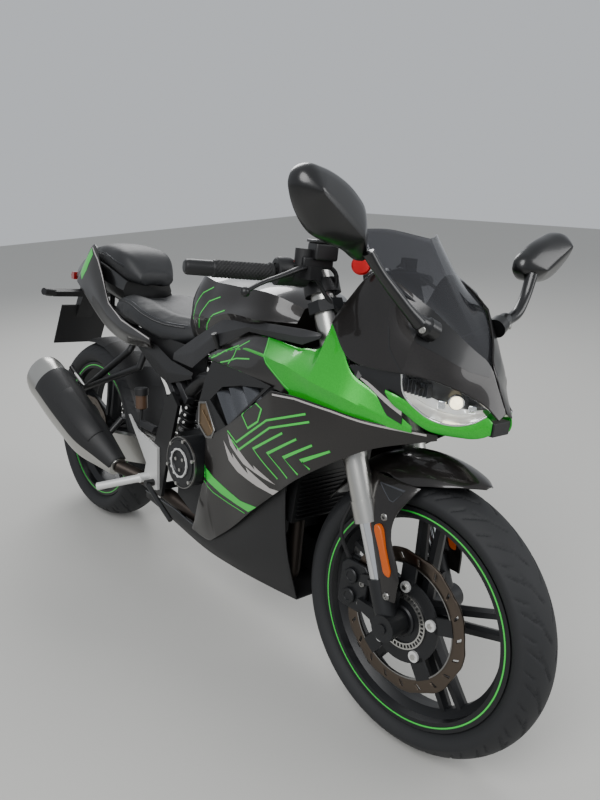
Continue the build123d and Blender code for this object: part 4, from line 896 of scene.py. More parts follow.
OUTLINES = [
    [(968, 628), (992, 604), (1030, 630), (1044, 662), (1018, 672), (986, 652), (968, 628)],
    [(905, 572), (944, 556), (1062, 642), (1176, 686)],
    [(922, 556), (956, 542), (1072, 628), (1186, 672)],
    [(1112, 628), (1012, 562), (1082, 512)],
    [(1152, 626), (1060, 566), (1116, 526)],
    [(1192, 624), (1110, 572), (1150, 546)],
    [(1232, 622), (1160, 580), (1182, 568)],
]
for (side, word), ob in zip(SIDES, lower):
    film(f"lower_band_{word}", ob, GREEN_BAND, side, GREEN_FILM)
    film(f"lower_pinstripe_{word}", ob, band([(796, 408), (834, 389), (892, 380), (950, 376)], 2.6), side,
         GREEN_FILM)
    for k, line in enumerate(SHARDS):
        film(f"lower_shard_{word}_{k}", ob, line, side, SILVER_FILM)
    for k, line in enumerate(OUTLINES):
        film(f"lower_outline_{word}_{k}", ob, band(line, 4.4), side, GREEN_FILM, lift=0.45)
    # A silver film along the panel's top edge: a painted highlight of that edge
    film(f"lower_top_painted_highlight_{word}", ob, band([(1082, 704), (1145, 710), (1235, 707), (1300, 702), (1404, 696)], 4),
         side, SILVER_FILM)
print("lower panels done")

# %% [markdown]
# The belly pan closes the fairing below the engine. It is one black moulding with a flat floor, so
# it is a loft of half sections whose front end rises towards the wheel.

# %% Belly pan
BELLY = [
    (392, [(0, 186), (64, 186), (82, 200), (84, 222)]),
    (571, [(0, 176), (76, 176), (94, 202), (98, 236)]),
    (740, [(0, 168), (82, 168), (102, 205), (104, 240)]),
    (850, [(0, 170), (78, 170), (106, 220), (112, 330)]),
    (985, [(0, 178), (70, 178), (116, 300), (130, 440)]),
    (1076, [(0, 186), (64, 186), (112, 330), (138, 520)]),
]
belly_half = crosswise(through(stations(BELLY), 6), 5, (1,))
belly_grid = np.concatenate([belly_half[:, ::-1] * (1, -1, 1), belly_half[:, 1:]], axis=1)
belly = shell("belly_shell", belly_grid, 3, (0, 0, -1), MATT_BLACK)
stands_for(belly, "belly_pan")
for side, word in SIDES:
    swept(f"belly_bead_{word}", [(x, side * (w[-1][0] + 0.5), w[-1][1]) for x, w in BELLY[:5]], 2.2,
          GREY_PAINT, sides=10)
print("belly pan done")

# %% [markdown]
# Behind the green panel the frame is dressed with black covers, and the tail is closed by two wings and
# a shell. Each is a thin moulding with one or two hard creases, drawn as rows of points.

# %% Frame covers, seat covers, tail panels
FRAME_COVER = [
    (566, [(118, 686), (120, 676), (120, 668)]),
    (690, [(132, 752), (140, 712), (140, 672)]),
    (775, [(132, 800), (146, 764), (144, 732)]),
    (804, [(132, 816), (146, 780), (142, 748)]),
    (911, [(132, 828), (144, 814), (138, 803)]),
    (1096, [(136, 840), (144, 824), (142, 808)]),
    (1150, [(137, 840), (143, 836), (143, 831)]),
]
SEAT_COVER = [
    (330, [(104, 690), (106, 680), (106, 670)]),
    (467, [(112, 686), (118, 650), (114, 610)]),
    (560, [(122, 664), (132, 630), (128, 600)]),
    (680, [(130, 656), (134, 648), (132, 640)]),
]
WING = [
    (-60, [(110, 812), (113, 807), (114, 802)]),
    (4, [(90, 926), (112, 850), (118, 772)]),
    (96, [(104, 856), (120, 790), (118, 720)]),
    (179, [(118, 770), (124, 730), (118, 684)]),
    (276, [(124, 734), (128, 700), (118, 664)]),
    (458, [(130, 706), (130, 690), (122, 676)]),
]
for name, table, thick, material, node_name, slot, folds, cuts in (
        ("frame_cover", FRAME_COVER, 3, DARK_GREY, "frame_covers", "grey_plastic", (1,),
         range(len(FRAME_COVER))),
        ("seat_cover", SEAT_COVER, 3, MATT_BLACK, "seat_covers", "black_plastic", (1,),
         range(len(SEAT_COVER))),
        ("tail_wing", WING, 4, DARK_PAINT, "tail_wings", "dark_paint", (), ())):
    for ob in both_sides(name, table, thick, material, (7, 7), folds, cuts):
        stands_for(ob, node_name)
COWL = [
    (-265, [(0, 814), (10, 812), (22, 808), (26, 796), (20, 786), (8, 784), (0, 784)]),
    (-160, [(0, 860), (30, 856), (56, 848), (62, 824), (46, 790), (16, 786), (0, 786)]),
    (-60, [(0, 886), (40, 884), (76, 880), (86, 850), (62, 798), (20, 790), (0, 790)]),
    (100, [(0, 866), (40, 866), (74, 860), (88, 820), (70, 778), (20, 770), (0, 770)]),
    (204.7, [(0, 839), (40, 839), (70, 834), (84, 806), (70, 762), (20, 756), (0, 756)]),
]
cowl = solid_body("tail_shell", COWL, GLOSS_BLACK, steps=(7, 5), folds=(3,))
stands_for(cowl, "tail_cowl")
print("covers and tail done")

# %% [markdown]
# The face: two nose halves meet at a keel, with a smoked screen above and a lamp under each brow.
# The screen is vacuum-formed polycarbonate with a crease along the middle, clear enough to see the dash
# through it.

# %% Screen and nose
SCREEN = [
    (-118, [(1202, 1050), (1250, 990), (1322, 946)]),
    (-70, [(1236, 1054), (1310, 968), (1388, 900)]),
    (-30, [(1264, 1048), (1338, 956), (1436, 846)]),
    (0, [(1277, 1044), (1348, 950), (1456, 822)]),
    (30, [(1264, 1048), (1338, 956), (1436, 846)]),
    (70, [(1236, 1054), (1310, 968), (1388, 900)]),
    (118, [(1202, 1050), (1250, 990), (1322, 946)]),
]
screen_rows = np.array([[(x, y, z) for x, z in line] for y, line in SCREEN], float)
screen_grid = crosswise(through(screen_rows, 6, (3,)), 8)
screen = shell("screen_sheet", screen_grid, 2.5, (1, 0, 1), SMOKE, sharp=40)
stands_for(screen, "windscreen")
NOSE = [
    (1185, [(128, 900), (140, 884), (150, 868)]),
    (1251, [(112, 976), (138, 900), (162, 812)]),
    (1308, [(106, 958), (140, 880), (160, 806)]),
    (1373, [(88, 922), (134, 860), (149, 809)]),
    (1411, [(56, 884), (104, 828), (117, 803)]),
    (1429, [(38, 864), (86, 816), (98, 797)]),
    (1458, [(5, 830), (40, 801), (61, 780)]),
    (1479, [(3.5, 794), (22, 780), (39, 765)]),
    (1502, [(2, 752), (14, 746), (22, 742)]),
]
SURROUND = [(1334, 948), (1373, 922), (1429, 866), (1458, 831), (1464, 812), (1445, 820), (1408, 846),
            (1380, 862), (1352, 890)]
nose = both_sides("nose_panel", NOSE, 3, DARK_PAINT, steps=(7, 8), cuts=(3,))
for (side, word), ob in zip(SIDES, nose):
    stands_for(ob, "nose_cowl")
    film(f"nose_joint_{word}", ob, band([(1318, 884), (1334, 846), (1360, 820), (1370, 810)], 3), side,
         GLOSS_BLACK)
    film(f"nose_surround_{word}", ob, SURROUND, side, GLOSS_BLACK)
print("nose and screen done")

# %% [markdown]
# Under each lamp runs a green chin, and behind the lamp a dark slot closes the gap to the upper panel.
# Lamp and chin share their edge lines, so both are sheets drawn between two such lines, a little swollen.

# %% Chin and lamp slots
# The lamp's top and bottom edges and the chin's bottom edge, as (x, distance from the middle, z)
LAMP_TOP = [(1372, 149, 808), (1391, 134, 807), (1411, 117, 803), (1430, 98, 796), (1453, 67, 783),
            (1465, 52, 774), (1479, 39, 764), (1489, 31, 756)]
LAMP_LOW = [(1376, 141, 772), (1384, 130, 756), (1396, 121, 745), (1414, 111, 734), (1436, 98, 728),
            (1459, 75, 728), (1474, 59, 735), (1487, 41, 748)]
CHIN_TOP = [(1340, 150, 772), (1358, 147, 768), (1384, 130, 755), (1396, 121, 744), (1414, 111, 733),
            (1436, 98, 727), (1459, 75, 727), (1474, 59, 734), (1487, 41, 747), (1495, 31, 738)]
CHIN_LOW = [(1340, 150, 766), (1352, 147, 752), (1380, 127, 730), (1396, 117, 718), (1414, 106, 709),
            (1436, 90, 705), (1459, 70, 704), (1474, 55, 704), (1487, 40, 708), (1495, 31, 714)]
SLOT = [(1250, [(155, 800), (155, 785), (155, 776)]), (1300, [(148, 806), (147, 780), (147, 744)]),
        (1345, [(144, 808), (143, 765), (141, 722)]), (1372, [(138, 808), (136, 760), (131, 712)])]


def between(top, low, steps, bulge, rows=9):
    """A grid from one edge line to another, bulging outwards by so much in the middle."""
    a, b = through(top, steps), through(low, steps)
    grid = np.array([a + (b - a) * t for t in np.linspace(0, 1, rows)]).swapaxes(0, 1)
    share = np.linspace(0, 1, rows)
    swell = bulge * 4 * share * (1 - share)
    return grid + swell[None, :, None] * np.array([0.55, 0.75, -0.25])


for side, word in SIDES:
    flip = (1, side, 1)
    chin = shell(f"chin_{word}", between(CHIN_TOP, CHIN_LOW, 6, 3) * flip, 3, (1, side, -0.5), GREEN_PAINT)
    stands_for(chin, "chin")
    chin_floor = between(CHIN_LOW, [(x - 12, w - 22, z + 3) for x, w, z in CHIN_LOW], 5, 0, 4)
    shell(f"chin_floor_{word}", chin_floor * flip, 2.5, (0, 0, -1), GREEN_PAINT)
    slot_grid = through(stations(SLOT), 6).swapaxes(0, 1) * flip
    slot_panel = shell(f"lamp_slot_{word}", slot_grid, 2, (0, side, 0), GLOSS_BLACK)
    film(f"lamp_slot_line_{word}", slot_panel, [(1262, 785), (1292, 777), (1371, 741), (1371, 729)], side,
         SILVER_FILM)
block("intake_mouth", (1488, 0, 722), (18, 52, 26), MATT_BLACK)
print("chin done")

# %% [markdown]
# A headlamp is a clear cover over a deep bowl. Under the cover here are a ribbed dark reflector at the outer
# end, two small square units, one lit round lens and a lower trough whose brightness is a painted glow. The
# bowl follows the cover's outline, so that the lamp fills the opening between the nose and the chin.

# %% Headlamps
for side, word in SIDES:
    flip = (1, side, 1)
    cover = shell(f"lamp_cover_{word}", between(LAMP_TOP, LAMP_LOW, 5, 3) * flip, 2, (1, side, 0), CLEAR)
    stands_for(cover, "headlamps")
    top_back = [(x - 16, w - 12, z - 3) for x, w, z in LAMP_TOP]
    low_back = [(x - 16, w - 12, z + 4) for x, w, z in LAMP_LOW]
    middle = [((a[0] + b[0]) / 2 - 24, (a[1] + b[1]) / 2 - 18, (a[2] + b[2]) / 2)
              for a, b in zip(LAMP_TOP, LAMP_LOW)]
    low_middle = [((x + a) / 2 - 3, (w + b) / 2 - 3, (z + c) / 2 - 2)
                  for (x, w, z), (a, b, c) in zip(middle, low_back)]
    edge_in = [(x - 2, w - 2, z) for x, w, z in LAMP_TOP]
    edge_low = [(x - 2, w - 2, z) for x, w, z in LAMP_LOW]
    shell(f"lamp_bowl_{word}", between(edge_in, top_back, 5, 0, 3) * flip, 1.5, (0, 0, -1), GLOSS_BLACK)
    shell(f"lamp_back_{word}", between(top_back, middle, 5, 0, 4) * flip, 1.5, (1, side, 0), GLOSS_BLACK)
    # The lower back and the trough carry a painted glow, from the emission of their reflector finish
    shell(f"lamp_back_low_{word}", between(middle, low_middle, 5, 0, 4) * flip, 1.5, (1, side, 0),
          REFLECTOR_PAINTED_GLOW)
    shell(f"lamp_trough_{word}", between(low_middle, edge_low, 5, -1, 4) * flip, 1.5, (1, side, 0.5),
          REFLECTOR_PAINTED_GLOW)
    swept(f"lamp_border_{word}", [(x, side * w, z) for x, w, z in (LAMP_TOP[0], *LAMP_LOW)], 2.0, REFLECTOR,
          sides=10)
    out = np.array([0.55, 0.75 * side, -0.25]) / np.linalg.norm([0.55, 0.75, 0.25])
    lens_at = np.array([1446, side * 78, 762])
    lathe(f"lamp_lens_{word}", lens_at - out * 12, out, [(0, 11), (6, 11.5), (9, 9), (11, 5.5), (12, 1)], LED,
          sides=40)
    lathe(f"lamp_ring_{word}", lens_at - out * 12, out, [(-4, 14), (3, 14.5), (3, 12), (-4, 12)], REFLECTOR,
          sides=40, close=True)
    for k, (x, w, z) in enumerate(((1428, 96, 758), (1466, 55, 754))):
        spread = np.cross(out, (0, 0, 1))
        spread /= np.linalg.norm(spread)
        block(f"lamp_unit_{word}_{k}", (x - 14 * out[0], side * w - 14 * out[1], z), (9, 15, 17), REFLECTOR,
              axes=(out, spread, np.cross(spread, out)), rim=2.5)
    for k in range(7):
        x, w = 1377 + 5.5 * k, 139 - 4.4 * k
        block(f"lamp_rib_{word}_{k}", (x - 9, side * (w - 12), 786 - 1.2 * k), (2, 14, 26), GREY_PAINT,
              rim=0.6)
print("headlamps done")

# %% [markdown]
# A mirror is a leaf-shaped shell on a thin stalk. Its outline is a smooth closed curve; copies of that
# curve shrink towards the front, which gives the rounded back, and the glass is a flat disc of
# the same outline set a little into the rear.

# %% Mirrors
RIGHT_LEAF = [(218, 997), (258, 1012), (300, 1022), (340, 1037), (364, 1060), (382, 1092), (386, 1108),
              (380, 1126), (366, 1136), (334, 1135), (300, 1127), (256, 1106), (236, 1088), (226, 1060),
              (220, 1026)]
LEFT_LEAF = [(226, 982), (270, 975), (315, 979), (352, 998), (380, 1026), (384, 1048), (374, 1074),
             (356, 1081), (296, 1068), (238, 1040), (212, 1018), (210, 998)]
RIGHT_STALK = [(1387, 138, 900), (1378, 156, 918), (1364, 186, 950), (1350, 216, 984), (1340, 236, 1012)]
LEFT_STALK = [(1386, 118, 892), (1378, 146, 897), (1374, 192, 914), (1371, 214, 940), (1366, 236, 992)]
# Copies of the outline, as (x, size): a rounded rim, then two slopes up to the crest that starts at the stalk
HEAD_ROWS = [(1301, 0.93), (1297, 0.965), (1299, 0.99), (1306, 1.0), (1316, 0.985), (1324, 0.9), (1332, 0.7),
             (1340, 0.45), (1347, 0.2), (1350, 0.07)]


def ring_of(points, steps=6):
    """A smooth closed curve through the points."""
    p = np.array(points, float)
    loop = through(np.concatenate([p[-2:], p, p[:3]]), steps)
    return loop[2 * steps:(2 + len(p)) * steps]


for (side, word), leaf, stalk, ahead in zip(SIDES, (RIGHT_LEAF, LEFT_LEAF), (RIGHT_STALK, LEFT_STALK),
                                            (0, 36)):
    ring = ring_of(leaf)
    # the two ends of the crest, as (distance from the middle, z)
    heart = ring.mean(0)
    root, tip = (leaf[0] + heart) / 2, heart + (leaf[6] - heart) * 0.62
    along = np.clip((ring - root) @ (tip - root) / ((tip - root) @ (tip - root)), 0, 1)
    crest = root + along[:, None] * (tip - root)

    def head_at(x, share):
        return [(x + ahead, side * a, b) for a, b in crest + (ring - crest) * share]

    points = [p for x, share in HEAD_ROWS for p in head_at(x, share)]
    count = len(ring)
    head = outward(piece(f"mirror_head_{word}", points, tube_faces(len(HEAD_ROWS), count), GLOSS_BLACK,
                         sharp=30))
    stands_for(head, "mirrors")
    glass = head_at(1300.4, 0.925)
    piece(f"mirror_glass_{word}", glass, [range(count) if side < 0 else range(count - 1, -1, -1)], MIRROR)
    swept(f"mirror_stalk_{word}", [(x, side * w, z) for x, w, z in stalk], [16, 13.5, 12.5, 11.5, 13],
          GLOSS_BLACK, squash=0.8)
    lathe(f"mirror_knuckle_{word}", (1385, side * 122, 896), (-0.14, side * 0.9, 0.42),
          [(-26, 20), (-4, 19), (2, 15), (14, 14), (20, 12), (24, 10)], GLOSS_BLACK)
    lathe(f"mirror_bolt_{word}", (1394, side * 137, 890), (0.75, side * 0.6, -0.1),
          [(-8, 6), (3, 6), (4, 5), (4, 2.6), (2, 2.6)], SILVER, sides=24)
print("mirrors done")

# %% [markdown]
# Behind the front panel a vent lets the radiator's air out. It is a dark plate with an opening, three
# louvres across it and a bronze duct mouth framed in silver. The plate leans out towards its
# front top, as the panel does, so every point of it gets its distance from the middle by one formula.

# %% Side intakes
INTAKE_EDGE = [(1058, 714), (911, 718), (790, 712), (764, 660), (746, 602), (736, 560), (744, 545),
               (768, 542), (806, 522), (842, 530), (884, 566)]
INTAKE_HOLE = [(1034, 704), (936, 686), (852, 662), (801, 618), (892, 576)]
INTAKE_BACK = [(1052, 708), (800, 704), (752, 650), (746, 566), (800, 560), (890, 540)]
DUCT_EDGE = [(752, 602), (790, 611), (849, 556), (838, 532), (810, 524), (761, 545)]
DUCT_HOLE = [(758, 598), (789, 606), (843, 555), (833, 536.5), (810, 529.5), (766, 548)]
DUCT_FLOOR = [(757, 598.5), (789.5, 606.5), (843.5, 555), (833.5, 536), (810, 529), (765.5, 547.5)]
# The louvres' rear edges, each from (x, z) to (x, z)
LOUVRES = [(826, 646, 900, 584), (884, 668, 946, 606), (944, 686, 990, 646)]


def intake_w(x, z):
    """The plate's distance from the middle plane at a place in side view."""
    return 150 + 0.13 * (x - 784) - 0.06 * (z - 690)


def leaning(name, outline, side, inner, outer, material, hole=None, rim=0.8):
    """A plate that follows the intake's lean, between two distances from its outer face."""
    bm = bmesh.new()
    edges = []
    for line in [outline, hole] if hole else [outline]:
        verts = [bm.verts.new((x, side * (intake_w(x, z) + outer), z)) for x, z in line]
        edges += [bm.edges.new((a, b)) for a, b in zip(verts, verts[1:] + verts[:1])]
    bmesh.ops.triangle_fill(bm, use_beauty=True, edges=edges)
    made = bmesh.ops.extrude_face_region(bm, geom=bm.faces[:])
    for v in made["geom"]:
        if isinstance(v, bmesh.types.BMVert):
            v.co.y += side * (inner - outer)
    bmesh.ops.recalc_face_normals(bm, faces=bm.faces)
    bm.verts.index_update()
    points, faces = [tuple(v.co) for v in bm.verts], [[v.index for v in f.verts] for f in bm.faces]
    bm.free()
    ob = piece(name, points, faces, material)
    return eased(ob, rim, angle=40)


for side, word in SIDES:
    leaning(f"intake_back_{word}", INTAKE_BACK, side, -24, -22, MATT_BLACK)
    surround = leaning(f"intake_plate_{word}", INTAKE_EDGE, side, -4, 0, MATT_BLACK, INTAKE_HOLE)
    stands_for(surround, "side_intakes")
    for k, (x0, z0, x1, z1) in enumerate(LOUVRES):
        rows = []
        for t in np.linspace(0, 1, 9):
            x, z = x0 + (x1 - x0) * t, z0 + (z1 - z0) * t
            rows.append([(x + 34 * s, side * (intake_w(x, z) + 3 * math.sin(math.pi * s) - 16 * s),
                          z + 10 * s)
                         for s in np.linspace(0, 1, 9)])
        shell(f"louvre_{word}_{k}", np.array(rows), 3, (0, side, 0), GREY_PAINT)
    leaning(f"duct_frame_{word}", DUCT_EDGE, side, -3, 5, STEEL, DUCT_HOLE, 1.2)
    leaning(f"duct_{word}", DUCT_FLOOR, side, -6, 1, BRONZE)
    for k in range(3):
        x, z = 786 + 17 * k, 574 - 9 * k
        block(f"duct_rib_{word}_{k}", (x, side * (intake_w(x, z) + 2), z), (4, 3, 34), BRONZE,
              axes=((0.75, 0, 0.66), (0, 1, 0), (-0.66, 0, 0.75)), rim=1)
print("intakes done")

# %% [markdown]
# The silencer is an oval tube that swells from the pipe and closes in a rounded end cap with a round
# outlet. A moulded heat shield covers its outer front half. Both are lofts of ellipses along one axis.

# %% Muffler and heat shield
# Stations as (middle, half width, half height)
MUFFLER = [((404, -188, 320), 26, 30), ((352, -203, 346), 38, 48), ((300, -218, 372), 50, 64),
           ((200, -229, 418), 57, 72), ((60, -240, 480), 58, 74), ((0, -244, 507), 56, 70),
           ((-12, -245, 512), 52, 65), ((-16, -245, 514), 46, 58)]
RUN = np.array(MUFFLER[-1][0], float) - MUFFLER[0][0]
RUN /= np.linalg.norm(RUN)
OVER = np.array((RUN[2], 0, -RUN[0])) / math.hypot(RUN[2], RUN[0])
ASIDE = np.cross(OVER, RUN)


def ovals(grow, angles, rows, steps):
    """Rings of an oval along the silencer, each wider than its row by so much, through the given angles."""
    track = through([(*c, w, h) for c, w, h in rows], steps)
    return np.array([[np.array((x, y, z)) + ASIDE * (w + grow) * math.cos(a) + OVER * (h + grow) * math.sin(a)
                      for a in angles] for x, y, z, w, h in track])


full_turn = [math.tau * k / 56 for k in range(56)]
can = ovals(0, full_turn, MUFFLER, 6)
end_mid = can[-1].mean(0)
for share, back in ((0.8, 3), (0.62, 4), (0.5, 2), (0.47, -8), (0.45, -24)):
    ring = end_mid + (can[-1] - end_mid) * share + RUN * back
    can = np.concatenate([can, ring[None]])
muffler = outward(piece("muffler_can", can.reshape(-1, 3), tube_faces(len(can), 56), SILVER, sharp=40))
stands_for(muffler, "muffler")
swept("muffler_hanger", [(330, -205, 372), (330, -170, 410), (330, -140, 440)], 9, SATIN_BLACK)
for k, at in enumerate((0.16, 0.93)):
    c, w, h = [np.array(MUFFLER[3][i]) * (1 - at) + np.array(MUFFLER[5][i]) * at for i in (0, 1, 2)]
    ring = ovals(1.2, full_turn, [(tuple(c - RUN * 4), w, h), (tuple(c + RUN * 4), w, h)], 2)
    shell(f"muffler_band_{k}", np.concatenate([ring, ring[:, :1]], axis=1), 2, OVER, CAST_SILVER)
shield = shell("heat_shield", ovals(5, full_turn[1:22], MUFFLER[:5], 6), 4, ASIDE + OVER, MATT_BLACK, rim=1.2)
stands_for(shield, "muffler_shield")
ridge = ovals(8, full_turn[5:15], MUFFLER[1:5], 6)[3:-4]
shell("heat_shield_ridge", ridge, 3.5, ASIDE, MATT_BLACK, rim=1.2)
print("muffler done")

# %% [markdown]
# The clutch cover is a cast lid: a raised outer band, an inner ring with notches, radial ribs and
# bolts. It is turned about its own axis, and what repeats round it is placed by the ring tree.

# %% Engine side covers
COVER = np.array((736, -176, 441))
lathe("clutch_band", COVER, (0, -1, 0), [(-2, 66), (9, 66), (12, 62), (12, 56), (9, 52), (2, 50), (-2, 50)],
      CAST_BLACK, close=True)
lathe("clutch_lid", COVER, (0, -1, 0), [(0, 52), (5, 50), (8, 40), (15, 38), (17, 34), (17, 30), (13, 27),
                                        (12, 8), (12, 0.5)],
      CAST_BLACK)
flat_ring("clutch_edge", COVER, (0, -1, 0), 8, 12.4, 64, 66.4, STEEL)
flat_ring("clutch_line", COVER, (0, -1, 0), 14, 18.6, 33, 37, CAST_SILVER)
RIB = ring_tree("ribs of a cover", "cube", (0.010, 0.004, 0.009))
COVER_BOLT = ring_tree("bolts of a cover", "bolt", (0.010, 0.010, 0.007))
NOTCH = ring_tree("notches of a ring", "cube", (0.004, 0.006, 0.0045))
for name, tree, y, count, radius, start, material in (
        ("clutch_ribs", RIB, -184, 18, 45, 0, CAST_BLACK),
        ("clutch_bolts", COVER_BOLT, -190, 6, 59, 20, SILVER),
        ("clutch_notches", NOTCH, -194, 12, 36, 0, CAST_SILVER),
        ("clutch_inner_bolts", COVER_BOLT, -190, 3, 18, 40, SILVER)):
    ringed(name, tree, (736, 0, 441), y, count, radius, start, material)
lathe("generator_lid", (736, 160, 441), (0, 1, 0), [(0, 60), (6, 60), (9, 56), (9, 30), (12, 27), (12, 0.5)],
      CAST_BLACK)
ringed("generator_bolts", COVER_BOLT, (736, 0, 441), 170, 6, 52, 0, SILVER)
lathe("oil_cap", (838, -98, 396), (0, -1, 0), [(-4, 20), (10, 20), (12, 17), (12, 8), (18, 6), (18, 0.5)],
      SATIN_BLACK)
for k in range(9):
    z = 520 + k * 15
    for side in (-1, 1):
        block(f"fin_{k}_{side}", (905 + 0.42 * (z - 520), side * 88, z), (112, 7, 3), CAST_BLACK, rim=0.8)
for k in range(22):
    block(f"core_fin_{k}", (1090 + 0.1 * k, 0, 408 + 10.3 * k), (10, 208, 1.4), SATIN_BLACK, rim=0.3)
print("engine covers done")

# %% [markdown]
# Grips are soft rubber with a diamond pattern: two families of thin helical ribs, wound both ways, drawn as
# a tube whose radius follows both. Bar ends and housings are turned about the bar's own axis, a lever is a
# flattened bar with a ball at its tip, and the brake cylinder and its cup are blocks on the right bar.

# %% Grips, bar ends, switch blocks and levers
BAR_ALONG = 1000 - (TRAIL * math.sin(RAKE) + FRONT_R * math.cos(RAKE))
BAR_MIDDLE = FRONT_AXLE - AHEAD * 4.3 + UP * BAR_ALONG
GRIP_START, BAR_END = 96, 58
LEVER = [(1110, 166, 966), (1116, 196, 960), (1113, 238, 945), (1108, 280, 930), (1103, 314, 912)]
TIP = [(9.5 * math.sin(a), max(9.5 * math.cos(a), 0.4)) for a in np.linspace(-1.57, 1.57, 15)]
SWITCHES = [((16, -8, 14), (22, 34, 16)), ((-12, 6, 16), (16, 12, 10))]
BRAKE_PARTS = [("brake_cylinder", (1112, -150, 974), (32, 66, 22), SATIN_BLACK, 4),
               ("brake_cup", (1122, -142, 997), (42, 50, 34), SATIN_BLACK, 5),
               ("brake_cup_lid", (1122, -142, 1016), (46, 54, 6), GLOSS_BLACK, 2)]


def knurled(name, start, ahead, length, count=72):
    """A grip from a point along a direction: a collar, then two families of crossing ribs."""
    side = np.cross(ahead, (0, 0, 1))
    side /= np.linalg.norm(side)
    over = np.cross(side, ahead)
    steps = np.arange(0, length, 1.2)
    points = []
    for s in steps:
        for a in np.arange(count) * math.tau / count:
            rib = abs(math.sin(6 * a + s * 0.42)) * abs(math.sin(6 * a - s * 0.42))
            r = 19.5 if s < 6 else 14.8 + 2.4 * rib ** 0.5
            points.append(start + ahead * s + r * (side * math.cos(a) + over * math.sin(a)))
    return outward(piece(name, points, tube_faces(len(steps), count), GRIP_RUBBER, "steering", 60))


for side, word in SIDES:
    inner, outer = BAR_MIDDLE + (4, side * 126, 26), BAR_MIDDLE + (-84, side * 385, 23)
    reach = np.linalg.norm(outer - inner)
    run = (outer - inner) / reach
    grip = knurled(f"grip_{word}", inner + run * GRIP_START, run, reach - BAR_END - GRIP_START)
    stands_for(grip, "grips")
    lathe(f"bar_end_{word}", outer - run * BAR_END, run,
          [(-2, 17), (1, 17), (3, 15.2), (50, 14.8), (54, 13.6), (57, 10), (57.4, 0.5)], SATIN_BLACK,
          "steering", 40)
    lathe(f"throttle_housing_{word}", inner + run * 58 + (3, 0, 6), run,
          [(0, 14), (0, 22), (3, 26), (16, 27), (30, 26), (33, 22), (33, 14)], SATIN_BLACK, "steering", 48,
          close=True)
    lever_at = [(x, side * w, z) for x, w, z in LEVER]
    lever = swept(f"lever_{word}", lever_at, [9, 8, 6.5, 5.6, 5.4], SATIN_BLACK, "steering", squash=0.7)
    stands_for(lever, "levers")
    lathe(f"lever_ball_{word}", lever_at[-1], (0, side, -0.4), TIP, SATIN_BLACK, "steering", 28)
    block(f"lever_perch_{word}", (1102, side * 158, 966), (34, 30, 20), SATIN_BLACK, "steering", rim=4)
    housing, bar_way = inner + run * 60, (np.cross(run, (0, 0, 1)) * -side, run * side, (0, 0, 1))
    for k, ((x, y, z), size) in enumerate(SWITCHES):
        block(f"switch_{word}_{k}", housing + (x, side * y, z), size, MATT_BLACK, "steering", bar_way, 3)
    if side < 0:
        for name, place, size, material, rim in BRAKE_PARTS:
            block(name, place, size, material, "steering", bar_way, rim)
        lathe("red_button", housing + (16, 6, 24), (0.3, 0, 1), [(0, 7), (4, 7), (5, 5)], RED_TAG,
              "steering", 24)
print("controls done")

# %% [markdown]
# Hoses and cables by the grips and the brake turn with the bars, and the reservoir's hose stays with the
# chassis. Each is a round rubber tube along a smooth line, drawn short, to where it goes out of sight.

# %% Hoses, cables and the brake fluid reservoir
HOSES = [
    ("brake_hose", 4.5, "steering", [(1108, -116, 974), (1122, -100, 958), (1118, -92, 905),
                                     (1114, -80, 860), (1124, -60, 822)]),
    ("throttle_cable", 4, "steering", [(1060, -176, 975), (1096, -150, 958), (1128, -118, 905),
                                       (1160, -70, 850)]),
    ("clutch_cable", 4, "steering", [(1060, 176, 975), (1100, 150, 985), (1135, 112, 925), (1165, 66, 850)]),
    ("caliper_hose", 4.2, "steering", [(1232, -60, 350), (1205, -76, 420), (1222, -60, 520),
                                       (1196, -44, 640), (1178, -30, 720)]),
    ("reservoir_hose", 5, "chassis", [(416, -124, 492), (420, -128, 460), (438, -136, 430),
                                      (470, -140, 400)]),
]
for name, radius, body, line in HOSES:
    swept(name, line, radius, GRIP_RUBBER, body, sides=12)
lathe("reservoir_cup", (416, -124, 492), (-0.1, 0, 1), [(0, 15), (3, 17), (40, 17), (40, 0.5)], TANK_PLASTIC)
cup = lathe("reservoir_lid", (412, -124, 532), (-0.1, 0, 1), [(0, 20), (18, 20), (21, 18), (21, 0.5)],
            MATT_BLACK)
stands_for(cup, "reservoir")
lathe("tag", (1228, -131, 984), (0.6, -0.7, 0.2), [(-4, 0.5), (-4, 16), (0, 19), (4, 16), (4, 0.5)], RED_TAG,
      sides=32)
print("hoses done")

# %% [markdown]
# Small trim of the tail: a pale edge line and a green rear face on each wing, a blank plate on its holder,
# an indicator on a stalk at each side, and the bright links of the passenger pegs.

# %% Tail trim
WING_EDGE = [(8, 918), (60, 884), (100, 848), (180, 764), (276, 728), (452, 703)]
for side, word in SIDES:
    wing = bpy.data.objects[f"tail_wing_{word}"]
    film(f"wing_edge_{word}", wing, band(WING_EDGE, 4), side, SILVER_FILM)
    film(f"wing_green_{word}", wing, [(-40, 840), (2, 916), (24, 896), (10, 846), (-20, 812)], side,
         GREEN_FILM)
    lathe(f"indicator_{word}", (-194, side * 138, 747), (0.3, side * 1.0, 0.1),
          [(0, 10), (8, 13.5), (28, 13), (40, 8), (43, 1)], MATT_BLACK, sides=32)
    # The indicator is unlit; the faint glow of its lens is painted
    lathe(f"indicator_lens_{word}", (-206, side * 152, 747), (-1, side * 0.3, 0),
          [(0, 9), (4, 8), (5, 5), (5.4, 0.5)], AMBER_PAINTED_GLOW, sides=32)
    swept(f"peg_link_{word}", [(104, side * 150, 482), (72, side * 164, 512), (40, side * 172, 538)], 5,
          CAST_SILVER, sides=12)
block("blank_plate", (-275.6, 0, 628), (2.5, 176, 150), BLANK,
      axes=((-0.905, 0, 0.43), (0, 1, 0), (0.43, 0, 0.905)), rim=1)
print("trim done")

# %% [markdown]
# Many things on a motorcycle repeat along a line, such as the links of a chain and the stitches of a seam.
# One tree does it: it puts a small body at equal steps on a curve, turned along it. The body's parts are
# given as a short list, and how many there are and their finish are inputs.

